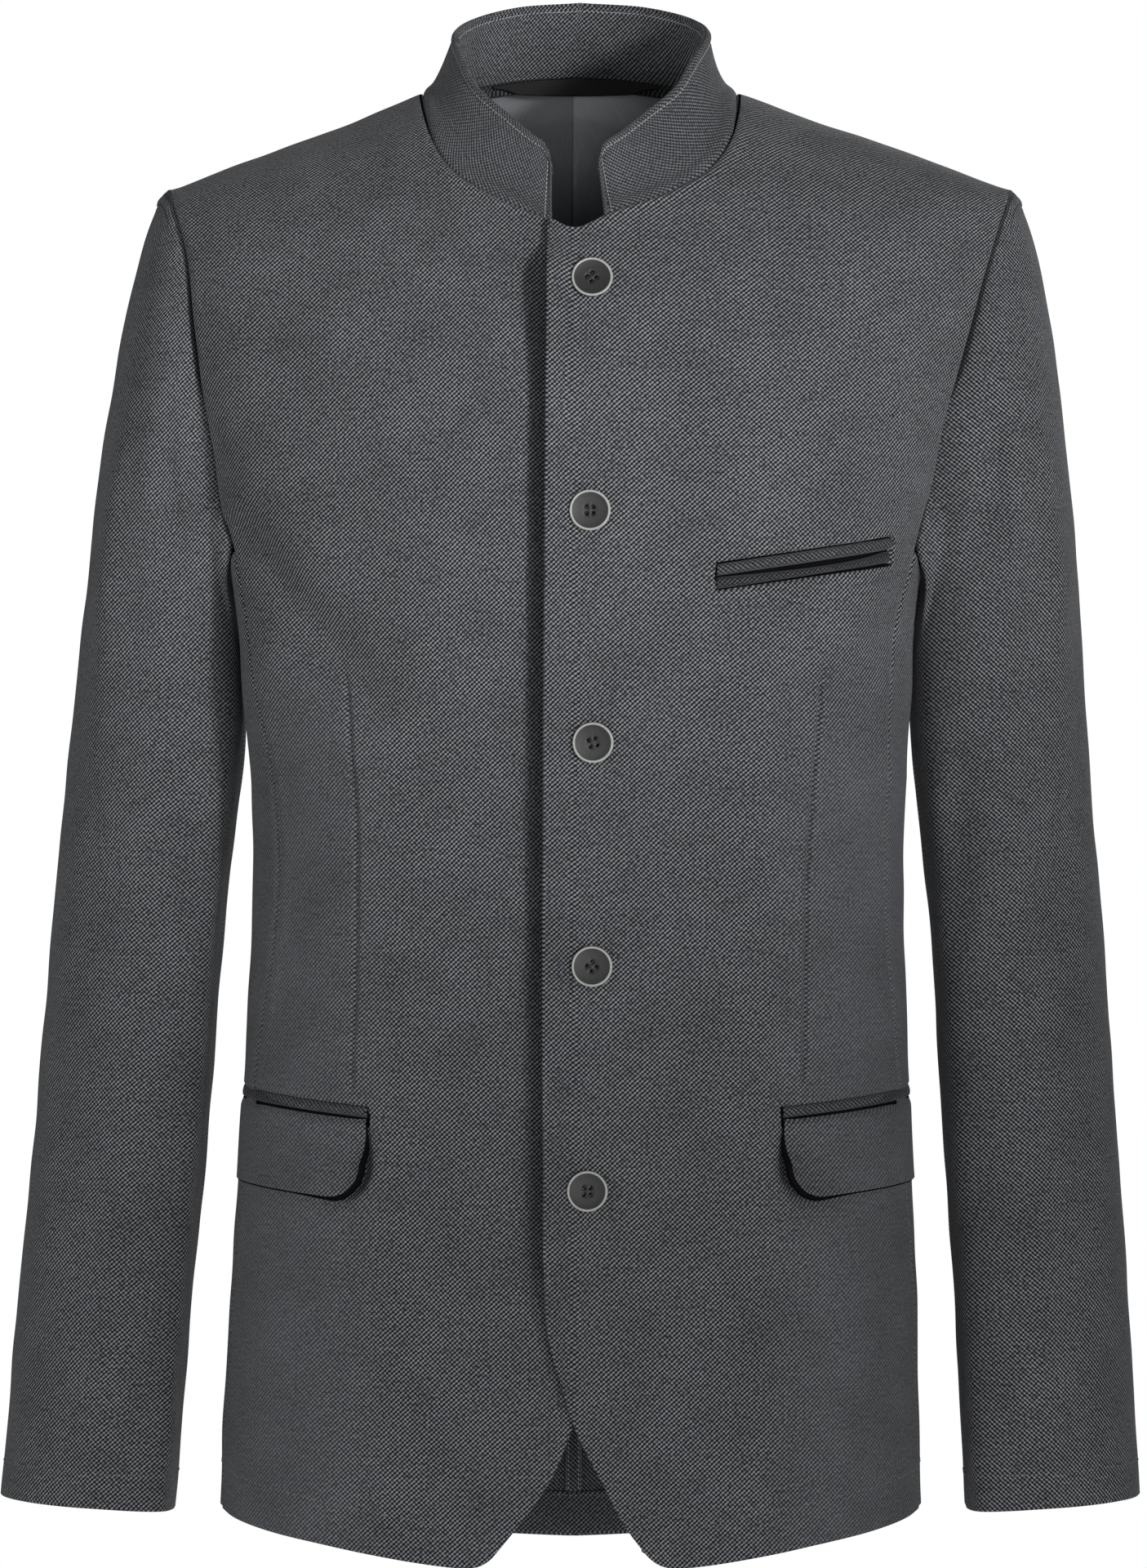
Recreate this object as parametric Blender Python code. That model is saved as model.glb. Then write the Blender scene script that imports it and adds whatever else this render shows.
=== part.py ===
"""A man's jersey blazer with a stand collar, buttoned up and worn, with no wearer inside.

Every piece is a thin wall of cloth. The body pieces are cut from one surface, given by a table
of sections, and what is sewn on a piece lies on that surface, moved out. Tables are in
millimetres and turns in degrees. +X is the wearer's left, -Y the front and +Z up, with the origin
between the two points where the shoulder seams meet the collar.
"""
import math

import bpy
import numpy as np

MM = 0.001

# Cloth
CLOTH = 1.6
COLLAR_CLOTH = 1.5
LINING_CLOTH = 1.0
FLAP_CLOTH = 2.0
SEAM_GAP = 0.3
LAY_GAP = 0.4

# Shoulder line
RIDGE_TOP = 21.8
SHOULDER_SLOPE = 0.405
SHOULDER_SOFT = 40.0
SHOULDER_HOLLOW = 1.5
HOLLOW_PLACE = 118.0
HOLLOW_REACH = 36.0
NECK_POINT = 80.6
SHOULDER_TIP = 214.5

# Roundness of the front and back halves of a section
FRONT_ROUND = 2.35
BACK_ROUND = 2.5

# Sections of the body, from the shoulder line down to below the hem
BODY_COLUMNS = ("level", "front_half", "back_half", "middle", "front", "back", "front_drop", "back_drop")
BODY = (
    (RIDGE_TOP, 240.0, 240.0, 0.0, 0.0, 0.0, 1.00, 1.00),
    (18.0, 238.0, 239.0, 0.0, 18.0, 49.0, 0.94, 1.15),
    (6.0, 235.0, 236.0, 0.0, 40.0, 80.0, 0.80, 1.30),
    (-20.0, 229.0, 231.0, -2.0, 68.0, 100.0, 0.56, 1.15),
    (-60.0, 219.0, 222.0, -6.0, 94.0, 112.0, 0.32, 0.75),
    (-112.0, 205.0, 210.0, -12.0, 112.0, 118.0, 0.15, 0.35),
    (-175.0, 187.0, 194.0, -20.0, 121.0, 117.0, 0.05, 0.12),
    (-240.0, 172.5, 172.5, -28.0, 121.0, 109.0, 0.0, 0.0),
    (-300.0, 168.4, 168.4, -30.0, 116.0, 99.0, 0.0, 0.0),
    (-385.0, 164.4, 164.4, -30.0, 110.0, 92.0, 0.0, 0.0),
    (-500.0, 168.0, 168.0, -27.0, 115.0, 107.0, 0.0, 0.0),
    (-640.0, 174.6, 174.6, -24.0, 119.0, 112.0, 0.0, 0.0),
    (-750.0, 178.0, 178.0, -22.0, 118.0, 108.0, 0.0, 0.0),
)

# Height of the hem round the body
HEM_COLUMNS = ("turn", "z")
HEM = (
    (0.0, -738.4), (16.0, -735.8), (30.0, -730.3), (43.0, -725.0), (58.0, -720.0),
    (75.0, -715.0), (90.0, -710.5), (115.0, -719.0), (145.0, -733.0), (180.0, -741.0),
)

# The seams each side of the side panel, with their feet and tops
SEAM_COLUMNS = ("level", "front_turn", "back_turn")
SEAMS = (
    (-750.0, 83.0, 118.0), (-580.0, 79.0, 119.0), (-500.0, 74.0, 120.0), (-430.0, 69.0, 121.0),
    (-380.0, 67.5, 122.0), (-300.0, 72.0, 123.5), (-200.0, 82.0, 125.0),
)
FRONT_SEAM_FOOT = -716.0
BACK_SEAM_FOOT = -721.0
FRONT_SEAM_TOP = -232.0
BACK_SEAM_TOP = -207.0
UNDERARM_DIP = 22.0

# Armholes, from above the seam tops up to the shoulder tip
ARMHOLE_COLUMNS = ("x", "z")
ARMHOLE_FRONT = ((176.0, -210.0), (181.5, -182.0), (186.5, -155.0), (191.0, -130.0),
                 (196.0, -105.0), (202.5, -80.0), (209.0, -61.5))
ARMHOLE_BACK = ((164.0, -180.0), (172.0, -150.0), (181.0, -120.0), (191.5, -95.0), (203.0, -70.0))

# Front edges: the left front laps over the right one
EDGE_COLUMNS = ("z", "over", "under")
FRONT_EDGE = (
    (-726.8, 34.4, 36.8), (-719.5, 28.8, 30.8), (-694.6, 15.1, 12.8), (-664.0, 0.2, 0.0),
    (-647.0, -5.0, -6.0), (-623.0, -11.5, -13.0), (-585.0, -14.0, -18.5), (-540.0, -14.3, -20.0),
    (-300.0, -14.3, -20.0), (-76.0, -12.3, -20.0),
)
CORNER_RISE = 9.6
CORNER_END = 59.0
CORNER_BEND = 3.4
LAP_LIFT = 3.2
LAP_FULL = 18.0
LAP_END = 48.0

# Neckline, from the front corners to the shoulder seam and across the back
NECK_COLUMNS = ("x", "z")
NECK_FRONT = ((0.0, -73.0), (12.4, -68.0), (26.0, -63.5), (41.0, -56.8), (50.0, -52.0), (60.6, -45.0),
              (68.0, -37.0), (74.6, -25.0), (78.5, -12.0))
NECK_CORNER_OVER = (-12.3, -76.0)
NECK_CORNER_UNDER = (-20.0, -78.5)
NECK_BACK = ((0.0, 14.0), (20.0, 12.8), (40.0, 9.6), (58.0, 5.6), (72.0, 2.8))

# Top edge of the collar, from the back to its front corner
COLLAR_COLUMNS = ("share", "x", "y", "z")
COLLAR_TOP = (
    (0.0, 0.0, 52.0, 53.0), (0.16, 34.0, 42.0, 49.5), (0.30, 57.0, 20.0, 41.5), (0.42, 64.0, -8.0, 32.5),
    (0.566, 58.0, -35.0, 16.5), (0.675, 49.5, -52.0, 1.0), (0.80, 33.0, -66.0, -14.0),
    (0.92, 19.5, -75.0, -25.5), (1.0, 11.0, -79.0, -31.0),
)
COLLAR_HOLLOW = 3.2
COLLAR_SEAM = 0.7
COLLAR_LAYER_GAP = 0.9
COLLAR_LEAN = 3.5
COLLAR_LEAN_START = 5.0
COLLAR_LEAN_FULL = 55.0
COLLAR_INNER_START = 0.25
COLLAR_CORNER = 13.0
COLLAR_END_LEFT = 14.8
COLLAR_END_RIGHT = 10.2

# Sleeve: sections of the tube, and how its head leaves the armhole
SLEEVE_COLUMNS = ("z", "centre_x", "centre_y", "half_width", "half_depth")
SLEEVE = (
    (-285.0, 212.6, 26.0, 43.8, 64.0), (-318.0, 214.4, 26.0, 44.6, 61.5), (-350.0, 217.5, 24.0, 44.3, 59.0),
    (-420.0, 224.3, 19.0, 43.5, 55.0), (-500.0, 229.6, 11.0, 43.8, 52.0), (-610.0, 238.0, 0.0, 43.8, 49.0),
    (-711.5, 244.6, -10.0, 44.0, 47.0),
)
SLEEVE_SLANT = 0.07
CAP_COLUMNS = ("turn", "out_x", "out_y", "out_z", "leave", "arrive")
CAP = (
    (-90.0, 0.75, 0.35, -0.55, 40.0, 70.0), (0.0, 0.42, 0.0, -0.90, 45.0, 90.0),
    (90.0, 0.80, -0.25, -0.55, 35.0, 70.0), (180.0, 0.35, 0.10, -0.93, 12.0, 14.0),
    (270.0, 0.75, 0.35, -0.55, 40.0, 70.0), (360.0, 0.42, 0.0, -0.90, 45.0, 90.0),
    (450.0, 0.80, -0.25, -0.55, 35.0, 70.0),
)
ARMHOLE_CENTRE_Y = 8.0
ARMHOLE_CENTRE_Z = -145.0
SLEEVE_FRONT_SEAM = 176.0
SLEEVE_BACK_SEAM = 250.0
SLEEVE_SEAM = 0.4
ROPE_HEIGHT = 1.5
ROPE_FULL = 35.0
ROPE_END = 75.0

# Hip pockets and chest pocket
FLAP_START = 104.0
FLAP_END_TURN = 98.0
FLAP_TOP = -515.0
FLAP_TOP_RISE = 8.5
FLAP_DEPTH = 40.5
FLAP_CORNER = 18.0
FLAP_STAND_LEFT = 2.2
FLAP_STAND_RIGHT = 0.8
FLAP_BACK_STAND = 0.8
JET_WIDTH = 5.6
JET_SWELL = 0.5
CHEST_START = (69.0, -245.4)
CHEST_END = (155.5, -232.2)
CHEST_SLIT = 0.6

# Buttons
BUTTON_X = 9.0
BUTTON_HEIGHTS = (-98.3, -214.5, -328.9, -439.8, -550.3)
BUTTON_TURNS = (45.0, 0.0, 20.0, 45.0, 0.0)
BUTTON_RADIUS = 10.1
BUTTON_DISH = 6.6
BUTTON_RIM = 8.9
BUTTON_THICK = 3.2
BUTTON_DISH_DEPTH = 0.9
BUTTON_HOLE_OUT = 2.0
BUTTON_HOLE_RADIUS = 0.9

# Inside of the back
LINING_BOTTOM = -300.0
LINING_INSET = 1.5
LINING_GAP = 0.8
PLEAT_HEIGHT = 3.0
PLEAT_FULL = -40.0
PLEAT_END = -10.0
TAPE_HALF = 41.0
TAPE_TOP = 11.6
TAPE_SAG = 4.8
TAPE_WIDTH = 9.0
TAPE_STAND = 3.0
TURN_UP = 22.0
STRIP_HALF = 3.6
STRIP_TOP = -306.0

# The stance: the shoulders lie a little to the wearer's left
STANCE_COLUMNS = ("z", "shift")
STANCE = (
    (-760.0, -2.0), (-657.0, -0.9), (-573.0, 0.5), (-449.0, 1.8), (-366.0, 2.3), (-324.0, 2.9),
    (-241.0, 4.8), (-184.0, 5.6), (-55.0, 8.2), (-30.0, 8.2), (0.0, 6.0), (60.0, 6.0),
)
STANCE_REACH = 90.0

# Grid counts
LOW_ROWS = 18
UP_ROWS = 13
NECK_ROW = 6
BACK_NECK_ROW = 8
FRONT_NECK_SHARES = np.linspace(0.0, 1.0, UP_ROWS - NECK_ROW + 1)
BACK_NECK_SHARES = np.linspace(0.0, 1.0, UP_ROWS - BACK_NECK_ROW + 1)
FRONT_COLUMNS = 11
SIDE_COLUMNS = 5
BACK_COLUMNS = 8
SLEEVE_CAP_STEPS = (0.0, 0.04, 0.10, 0.20, 0.34, 0.50, 0.67, 0.84)
SLEEVE_TUBE_ROWS = 8
COLLAR_ROWS = 4
FLAP_STEPS = 12
FLAP_ROWS = 4
CHEST_STEPS = 8
JET_ROWS = 2
TAPE_STEPS = 8
STRIP_ROWS = 14
COLLAR_CORNER_STEPS = (12.0, 8.0, 4.5, 1.8)

# Colours and roughness of the materials
CLOTH_LOOK = ((0.075, 0.079, 0.087, 1.0), 0.9)
LINING_LOOK = ((0.045, 0.048, 0.053, 1.0), 0.45)
TAPE_LOOK = ((0.010, 0.010, 0.011, 1.0), 0.7)
BUTTON_LOOK = ((0.070, 0.071, 0.078, 1.0), 0.55)


def column(table, names, name):
    """One named column of a table."""
    at = names.index(name)
    return np.array([row[at] for row in table], float)


def smooth(keys, values, at):
    """A smooth curve through the values at rising keys, read at any places between them."""
    slopes = np.gradient(values, keys, axis=0)
    at = np.clip(at, keys[0], keys[-1])
    cell = np.clip(np.searchsorted(keys, at, side="right") - 1, 0, len(keys) - 2)
    step = keys[cell + 1] - keys[cell]
    t = (at - keys[cell]) / step
    low = values[cell] * (1 + 2 * t) * (1 - t) ** 2 + slopes[cell] * step * t * (1 - t) ** 2
    high = values[cell + 1] * t * t * (3 - 2 * t) + slopes[cell + 1] * step * t * t * (t - 1)
    return low + high


def ramp(value, start, end):
    """A soft step from 0 at start to 1 at end."""
    t = np.clip((value - start) / (end - start), 0.0, 1.0)
    return t * t * (3 - 2 * t)


def unit(vectors):
    return vectors / np.linalg.norm(vectors, axis=-1, keepdims=True)


BODY_KEYS = np.sqrt(RIDGE_TOP - column(BODY, BODY_COLUMNS, "level"))


def body(name, level):
    """One column of the body's sections, read at any level."""
    climb = np.sqrt(np.maximum(RIDGE_TOP - level, 0.0))
    return smooth(BODY_KEYS, column(BODY, BODY_COLUMNS, name), climb)


def shoulder_drop(x):
    """How far the shoulder line lies below its middle, with the slight hollow beside the neck."""
    hollow = SHOULDER_HOLLOW * np.exp(-((np.abs(x) - HOLLOW_PLACE) / HOLLOW_REACH) ** 2)
    return SHOULDER_SLOPE * (np.hypot(x, SHOULDER_SOFT) - SHOULDER_SOFT) + hollow


def ridge(x):
    return RIDGE_TOP - shoulder_drop(x)


def skin(turn, level):
    """Points of the body's surface: turn 0 is the front's middle, 90 the side and 180 the back's."""
    across = np.sin(np.radians(turn))
    along = np.cos(np.radians(turn))
    is_front = along >= 0
    power = 2.0 / np.where(is_front, FRONT_ROUND, BACK_ROUND)
    half = np.where(is_front, body("front_half", level), body("back_half", level))
    middle = body("middle", level)
    x = np.sign(across) * half * np.abs(across) ** power
    reach = np.abs(along) ** power
    front_y = middle - (body("front", level) + middle) * reach
    back_y = middle + (body("back", level) - middle) * reach
    drop = np.where(is_front, body("front_drop", level), body("back_drop", level))
    z = level - shoulder_drop(x) * drop
    return np.stack([x, np.where(is_front, front_y, back_y), z], axis=-1)


def facing(surface, first, second, first_step, second_step):
    """Outward directions of a surface, from the two ways along it."""
    one = surface(first + first_step, second) - surface(first - first_step, second)
    two = surface(first, second + second_step) - surface(first, second - second_step)
    return unit(np.cross(one, two))


def skin_facing(turn, level):
    """Outward directions of the body, straight up or down at the shoulder seam."""
    out = facing(skin, turn, level, 0.2, 0.8)
    at_seam = level > RIDGE_TOP - 0.01
    out[..., 1] = np.where(at_seam, 0.0, out[..., 1])
    return unit(out)


def level_at(x, z, drop_name):
    """The level at which the body passes through a given place across and height."""
    low = np.full(np.shape(z), -760.0)
    high = np.full(np.shape(z), RIDGE_TOP)
    for _ in range(50):
        middle = (low + high) / 2
        above = middle - shoulder_drop(x) * body(drop_name, middle) > z
        high = np.where(above, middle, high)
        low = np.where(above, low, middle)
    return (low + high) / 2


def front_place(x, z):
    """Turn and level of places on the front, given as seen from the front."""
    x = np.asarray(x, float)
    level = level_at(x, np.asarray(z, float), "front_drop")
    share = np.clip(np.abs(x) / body("front_half", level), 0.0, 1.0) ** (FRONT_ROUND / 2)
    return np.sign(x) * np.degrees(np.arcsin(share)), level


def back_place(x, z):
    """Turn and level of places on the back."""
    x = np.asarray(x, float)
    level = level_at(x, np.asarray(z, float), "back_drop")
    share = np.clip(np.abs(x) / body("back_half", level), 0.0, 1.0) ** (BACK_ROUND / 2)
    return 180.0 - np.degrees(np.arcsin(share)), level


def path(points, shares):
    """Places at given shares of the length of a smooth curve through points."""
    points = np.asarray(points, float)
    keys = np.concatenate([[0.0], np.cumsum(np.linalg.norm(np.diff(points, axis=0), axis=1))])
    fine = np.linspace(0.0, keys[-1], 400)
    curve = np.stack([smooth(keys, points[:, k], fine) for k in range(points.shape[1])], axis=-1)
    run = np.concatenate([[0.0], np.cumsum(np.linalg.norm(np.diff(curve, axis=0), axis=1))])
    wanted = np.asarray(shares) * run[-1]
    return np.stack([np.interp(wanted, run, curve[:, k]) for k in range(points.shape[1])], axis=-1)


def hem(turn):
    return smooth(column(HEM, HEM_COLUMNS, "turn"), column(HEM, HEM_COLUMNS, "z"), turn)


def seam_turn(name, level):
    return smooth(column(SEAMS, SEAM_COLUMNS, "level"), column(SEAMS, SEAM_COLUMNS, name), level)


def front_armhole(shares):
    """Turn and level along the front of the armhole, from the seam top to the shoulder tip."""
    x = np.array([row[0] for row in ARMHOLE_FRONT] + [SHOULDER_TIP])
    z = np.array([row[1] for row in ARMHOLE_FRONT] + [ridge(SHOULDER_TIP)])
    turn, level = front_place(x, z)
    turn = np.concatenate([[seam_turn("front_turn", FRONT_SEAM_TOP)], turn])
    level = np.concatenate([[FRONT_SEAM_TOP], level])
    level[-1] = RIDGE_TOP
    places = path(np.stack([turn, level], axis=-1), shares)
    return places[:, 0], places[:, 1]


def back_armhole(shares):
    """Turn and level along the back of the armhole, from the seam top to the shoulder tip."""
    x = np.array([row[0] for row in ARMHOLE_BACK] + [SHOULDER_TIP])
    z = np.array([row[1] for row in ARMHOLE_BACK] + [ridge(SHOULDER_TIP)])
    turn, level = back_place(x, z)
    turn = np.concatenate([[seam_turn("back_turn", BACK_SEAM_TOP)], turn])
    level = np.concatenate([[BACK_SEAM_TOP], level])
    level[-1] = RIDGE_TOP
    places = path(np.stack([turn, level], axis=-1), shares)
    return places[:, 0], places[:, 1]


def underarm(shares):
    """Turn and level along the top of the side panel, the lowest stretch of the armhole."""
    front = seam_turn("front_turn", FRONT_SEAM_TOP)
    back = seam_turn("back_turn", BACK_SEAM_TOP)
    turn = front + (back - front) * shares
    level = FRONT_SEAM_TOP + (BACK_SEAM_TOP - FRONT_SEAM_TOP) * shares
    return turn, level - UNDERARM_DIP * np.sin(np.pi * shares)


def front_neck(corner, shares):
    """Turn and level along the front neckline, from a front corner to the shoulder seam."""
    rows = (corner,) + NECK_FRONT + ((NECK_POINT, ridge(NECK_POINT)),)
    places = path(rows, shares)
    turn, level = front_place(places[:, 0], places[:, 1])
    level = np.where(np.asarray(shares) > 0.9999, RIDGE_TOP, level)
    return turn, level


def back_neck(shares):
    """Turn and level along the back neckline, from its middle to the shoulder seam."""
    rows = NECK_BACK + ((NECK_POINT, ridge(NECK_POINT)),)
    places = path(rows, shares)
    turn, level = back_place(places[:, 0], places[:, 1])
    level = np.where(np.asarray(shares) > 0.9999, RIDGE_TOP, level)
    return turn, level


def across(left, right, shares):
    """Rows of values running evenly from each left value to its right value."""
    return left[:, None] + (right - left)[:, None] * shares[None, :]


def front_grid(edge_name, corner):
    """Turn and level over a front, from its edge to the side seam and armhole."""
    shares = np.linspace(0.0, 1.0, FRONT_COLUMNS + 1)
    low = np.linspace(0.0, 1.0, LOW_ROWS + 1)
    edge_z = column(FRONT_EDGE, EDGE_COLUMNS, "z")
    edge_x = column(FRONT_EDGE, EDGE_COLUMNS, edge_name)
    left_z = edge_z[0] + (FRONT_SEAM_TOP - edge_z[0]) * low
    left_turn, left_level = front_place(smooth(edge_z, edge_x, left_z), left_z)
    bottom = hem(seam_turn("front_turn", FRONT_SEAM_FOOT))
    right_level = bottom + (FRONT_SEAM_TOP - bottom) * low
    right_turn = seam_turn("front_turn", right_level)
    turn = across(left_turn, right_turn, shares)
    level = across(left_level, right_level, shares)
    hem_x = skin(turn[0], level[0])[:, 0]
    corner_share = np.clip((CORNER_END - hem_x) / (CORNER_END - edge_x[0]), 0.0, 1.0)
    hem_level = hem(turn[0]) + CORNER_RISE * corner_share ** CORNER_BEND
    level += ((1 - low) ** 3)[:, None] * (hem_level - level[0])[None, :]
    up = np.linspace(0.0, 1.0, UP_ROWS + 1)[1:]
    edge_up = FRONT_SEAM_TOP + (corner[1] - FRONT_SEAM_TOP) * np.linspace(0.0, 1.0, NECK_ROW + 1)[1:]
    edge_up_x = np.minimum(smooth(edge_z, edge_x, edge_up), 100.0)
    edge_up_x[-1] = corner[0]
    edge_turn, edge_level = front_place(edge_up_x, edge_up)
    neck_turn, neck_level = front_neck(corner, FRONT_NECK_SHARES[1:])
    arm_turn, arm_level = front_armhole(up)
    up_turn = across(np.concatenate([edge_turn, neck_turn]), arm_turn, shares)
    up_level = across(np.concatenate([edge_level, neck_level]), arm_level, shares)
    return np.concatenate([turn, up_turn]), np.concatenate([level, up_level])


def side_grid():
    """Turn and level over a side panel."""
    shares = np.linspace(0.0, 1.0, SIDE_COLUMNS + 1)
    low = np.linspace(0.0, 1.0, LOW_ROWS + 1)
    front_bottom = hem(seam_turn("front_turn", FRONT_SEAM_FOOT))
    back_bottom = hem(seam_turn("back_turn", BACK_SEAM_FOOT))
    front_level = front_bottom + (FRONT_SEAM_TOP - front_bottom) * low
    back_level = back_bottom + (BACK_SEAM_TOP - back_bottom) * low
    turn = across(seam_turn("front_turn", front_level), seam_turn("back_turn", back_level), shares)
    level = across(front_level, back_level, shares)
    level += ((1 - low) ** 3)[:, None] * (hem(turn[0]) - level[0])[None, :]
    level -= (low ** 4)[:, None] * (UNDERARM_DIP * np.sin(np.pi * shares))[None, :]
    return turn, level


def back_grid():
    """Turn and level over half of the back, from the side seam and armhole to the middle."""
    shares = np.linspace(0.0, 1.0, BACK_COLUMNS + 1)
    low = np.linspace(0.0, 1.0, LOW_ROWS + 1)
    bottom = hem(seam_turn("back_turn", BACK_SEAM_FOOT))
    seam_level = bottom + (BACK_SEAM_TOP - bottom) * low
    middle_level = hem(180.0) + (BACK_SEAM_TOP - hem(180.0)) * low
    turn = across(seam_turn("back_turn", seam_level), np.full(LOW_ROWS + 1, 180.0), shares)
    level = across(seam_level, middle_level, shares)
    level += ((1 - low) ** 3)[:, None] * (hem(turn[0]) - level[0])[None, :]
    up = np.linspace(0.0, 1.0, UP_ROWS + 1)[1:]
    neck_turn, neck_level = back_neck(BACK_NECK_SHARES[1:])
    rise = np.linspace(0.0, 1.0, BACK_NECK_ROW + 1)[1:]
    first_climb = math.sqrt(RIDGE_TOP - BACK_SEAM_TOP)
    last_climb = math.sqrt(RIDGE_TOP - NECK_BACK[0][1])
    middle_up = RIDGE_TOP - (first_climb + (last_climb - first_climb) * rise) ** 2
    arm_turn, arm_level = back_armhole(up)
    inner_turn = np.concatenate([np.full(len(rise), 180.0), neck_turn])
    up_turn = across(arm_turn, inner_turn, shares)
    up_level = across(arm_level, np.concatenate([middle_up, neck_level]), shares)
    return np.concatenate([turn, up_turn]), np.concatenate([level, up_level])


def lap_lift(points):
    """How far the left front stands off where it lies over the right one."""
    return LAP_LIFT * (1 - ramp(points[..., 0], LAP_FULL, LAP_END))


def inset(grid, gap, last_gap=None):
    """A grid drawn in all round by a small gap, which may differ at its last column."""
    moved = grid.copy()
    last_gap = gap if last_gap is None else last_gap
    for axis, at, inner, width in ((0, 0, 1, gap), (0, -1, -2, gap), (1, 0, 1, gap), (1, -1, -2, last_gap)):
        rim = np.take(grid, at, axis=axis)
        inward = np.take(grid, inner, axis=axis) - rim
        along = unit(np.gradient(rim, axis=0))
        inward = unit(inward - along * np.sum(inward * along, axis=-1, keepdims=True)) * width
        if axis == 0:
            moved[at] += inward
        else:
            moved[:, at] += inward
    return moved


def stance(points):
    """The whole garment's small lean, as shifts across that grow away from its middle."""
    heights = column(STANCE, STANCE_COLUMNS, "z")
    shift = smooth(heights, column(STANCE, STANCE_COLUMNS, "shift"), points[..., 2])
    moved = points.copy()
    moved[..., 0] += shift * (1 - np.exp(-(points[..., 0] / STANCE_REACH) ** 2))
    return moved


def mirrored(points, side):
    return points * np.array([side, 1.0, 1.0])


def material(name, look):
    made = bpy.data.materials.new(name)
    made.use_nodes = True
    shader = made.node_tree.nodes["Principled BSDF"]
    shader.inputs["Base Color"].default_value = look[0]
    shader.inputs["Roughness"].default_value = look[1]
    shader.inputs["Metallic"].default_value = 0.0
    return made


def add_object(name, points, faces, look):
    """An object from points in millimetres, with its faces turned outwards."""
    mesh = bpy.data.meshes.new(name)
    mesh.from_pydata([tuple(p) for p in stance(np.asarray(points)) * MM], [], faces)
    corners = np.array([[vertex.co[k] for k in range(3)] for vertex in mesh.vertices])
    volume = sum(np.dot(corners[a], np.cross(corners[b], corners[c])) for a, b, c in faces)
    if volume < 0:
        mesh.flip_normals()
    mesh.materials.append(material(name, look))
    mesh.shade_smooth()
    mesh.set_sharp_from_angle(angle=math.radians(50.0))
    made = bpy.data.objects.new(name, mesh)
    bpy.context.scene.collection.objects.link(made)


def add_wall(name, outer, inner, look, like=None):
    """A closed wall between an outer and an inner grid, its cells split as in the grid it lies on."""
    rows, columns = outer.shape[:2]
    split = (outer if like is None else like).reshape(-1, 3)
    count = rows * columns
    points = np.concatenate([outer.reshape(-1, 3), inner.reshape(-1, 3)])
    faces = []
    for i in range(rows - 1):
        for j in range(columns - 1):
            a, b = i * columns + j, i * columns + j + 1
            c, d = b + columns, a + columns
            short = np.linalg.norm(split[a] - split[c]) <= np.linalg.norm(split[b] - split[d])
            halves = ((a, b, c), (a, c, d)) if short else ((a, b, d), (b, c, d))
            faces.extend(halves)
            faces.extend((r + count, q + count, p + count) for p, q, r in halves)
    loop = [j for j in range(columns)]
    loop += [i * columns + columns - 1 for i in range(1, rows)]
    loop += [(rows - 1) * columns + j for j in range(columns - 2, -1, -1)]
    loop += [i * columns for i in range(rows - 2, 0, -1)]
    for a, b in zip(loop, loop[1:] + loop[:1]):
        faces.append((b, a, a + count))
        faces.append((b, a + count, b + count))
    add_object(name, points, faces, look)


def add_skin_wall(name, side, turn, level, outside, thick, look):
    """A wall on the body's surface, its outer face moved out by the given amounts."""
    out = skin_facing(turn, level)
    outer = inset(skin(turn, level) + out * np.asarray(outside)[..., None], SEAM_GAP / 2)
    inner = outer - out * thick
    add_wall(name, mirrored(outer, side), mirrored(inner, side), look)


def add_body():
    """Fronts, side panels and backs."""
    turn, level = front_grid("over", NECK_CORNER_OVER)
    add_skin_wall("front_left", 1, turn, level, lap_lift(skin(turn, level)), CLOTH, CLOTH_LOOK)
    turn, level = front_grid("under", NECK_CORNER_UNDER)
    add_skin_wall("front_right", -1, turn, level, np.zeros(turn.shape), CLOTH, CLOTH_LOOK)
    turn, level = side_grid()
    for side, word in ((1, "left"), (-1, "right")):
        add_skin_wall("side_" + word, side, turn, level, np.zeros(turn.shape), CLOTH, CLOTH_LOOK)
    turn, level = back_grid()
    for side, word in ((1, "left"), (-1, "right")):
        add_skin_wall("back_" + word, side, turn, level, np.zeros(turn.shape), CLOTH, CLOTH_LOOK)


def armhole_loop():
    """The panels' points round the armhole and their turns about its middle: 0 top, 90 front, 180 below."""
    shares = np.linspace(0.0, 1.0, UP_ROWS + 1)
    front = skin(*front_armhole(1 - shares))
    below = skin(*underarm(np.linspace(0.0, 1.0, SIDE_COLUMNS + 1)))
    back = skin(*back_armhole(shares))
    loop = np.concatenate([front[:-1], below[:-1], back[:-1]])
    turn = np.degrees(np.arctan2(ARMHOLE_CENTRE_Y - loop[:, 1], loop[:, 2] - ARMHOLE_CENTRE_Z)) % 360.0
    order = np.argsort(turn)
    turn, loop = turn[order], loop[order]
    turns = np.concatenate([turn - 360.0, turn, turn + 360.0])
    return turns, np.concatenate([loop, loop, loop])


LOOP_TURNS, LOOP_POINTS = armhole_loop()


def armhole(turn):
    return np.stack([np.interp(turn, LOOP_TURNS, LOOP_POINTS[:, k]) for k in range(3)], axis=-1)


def tube(turn, height):
    """Points of the sleeve below its head."""
    keys = column(SLEEVE, SLEEVE_COLUMNS, "z")[::-1]

    def part(name):
        return smooth(keys, column(SLEEVE, SLEEVE_COLUMNS, name)[::-1], height)

    aside = part("half_width") * np.cos(np.radians(turn))
    forward = part("half_depth") * np.sin(np.radians(turn))
    x = part("centre_x") + aside
    y = part("centre_y") - forward
    return np.stack([x, y, height + SLEEVE_SLANT * aside], axis=-1)


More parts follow.
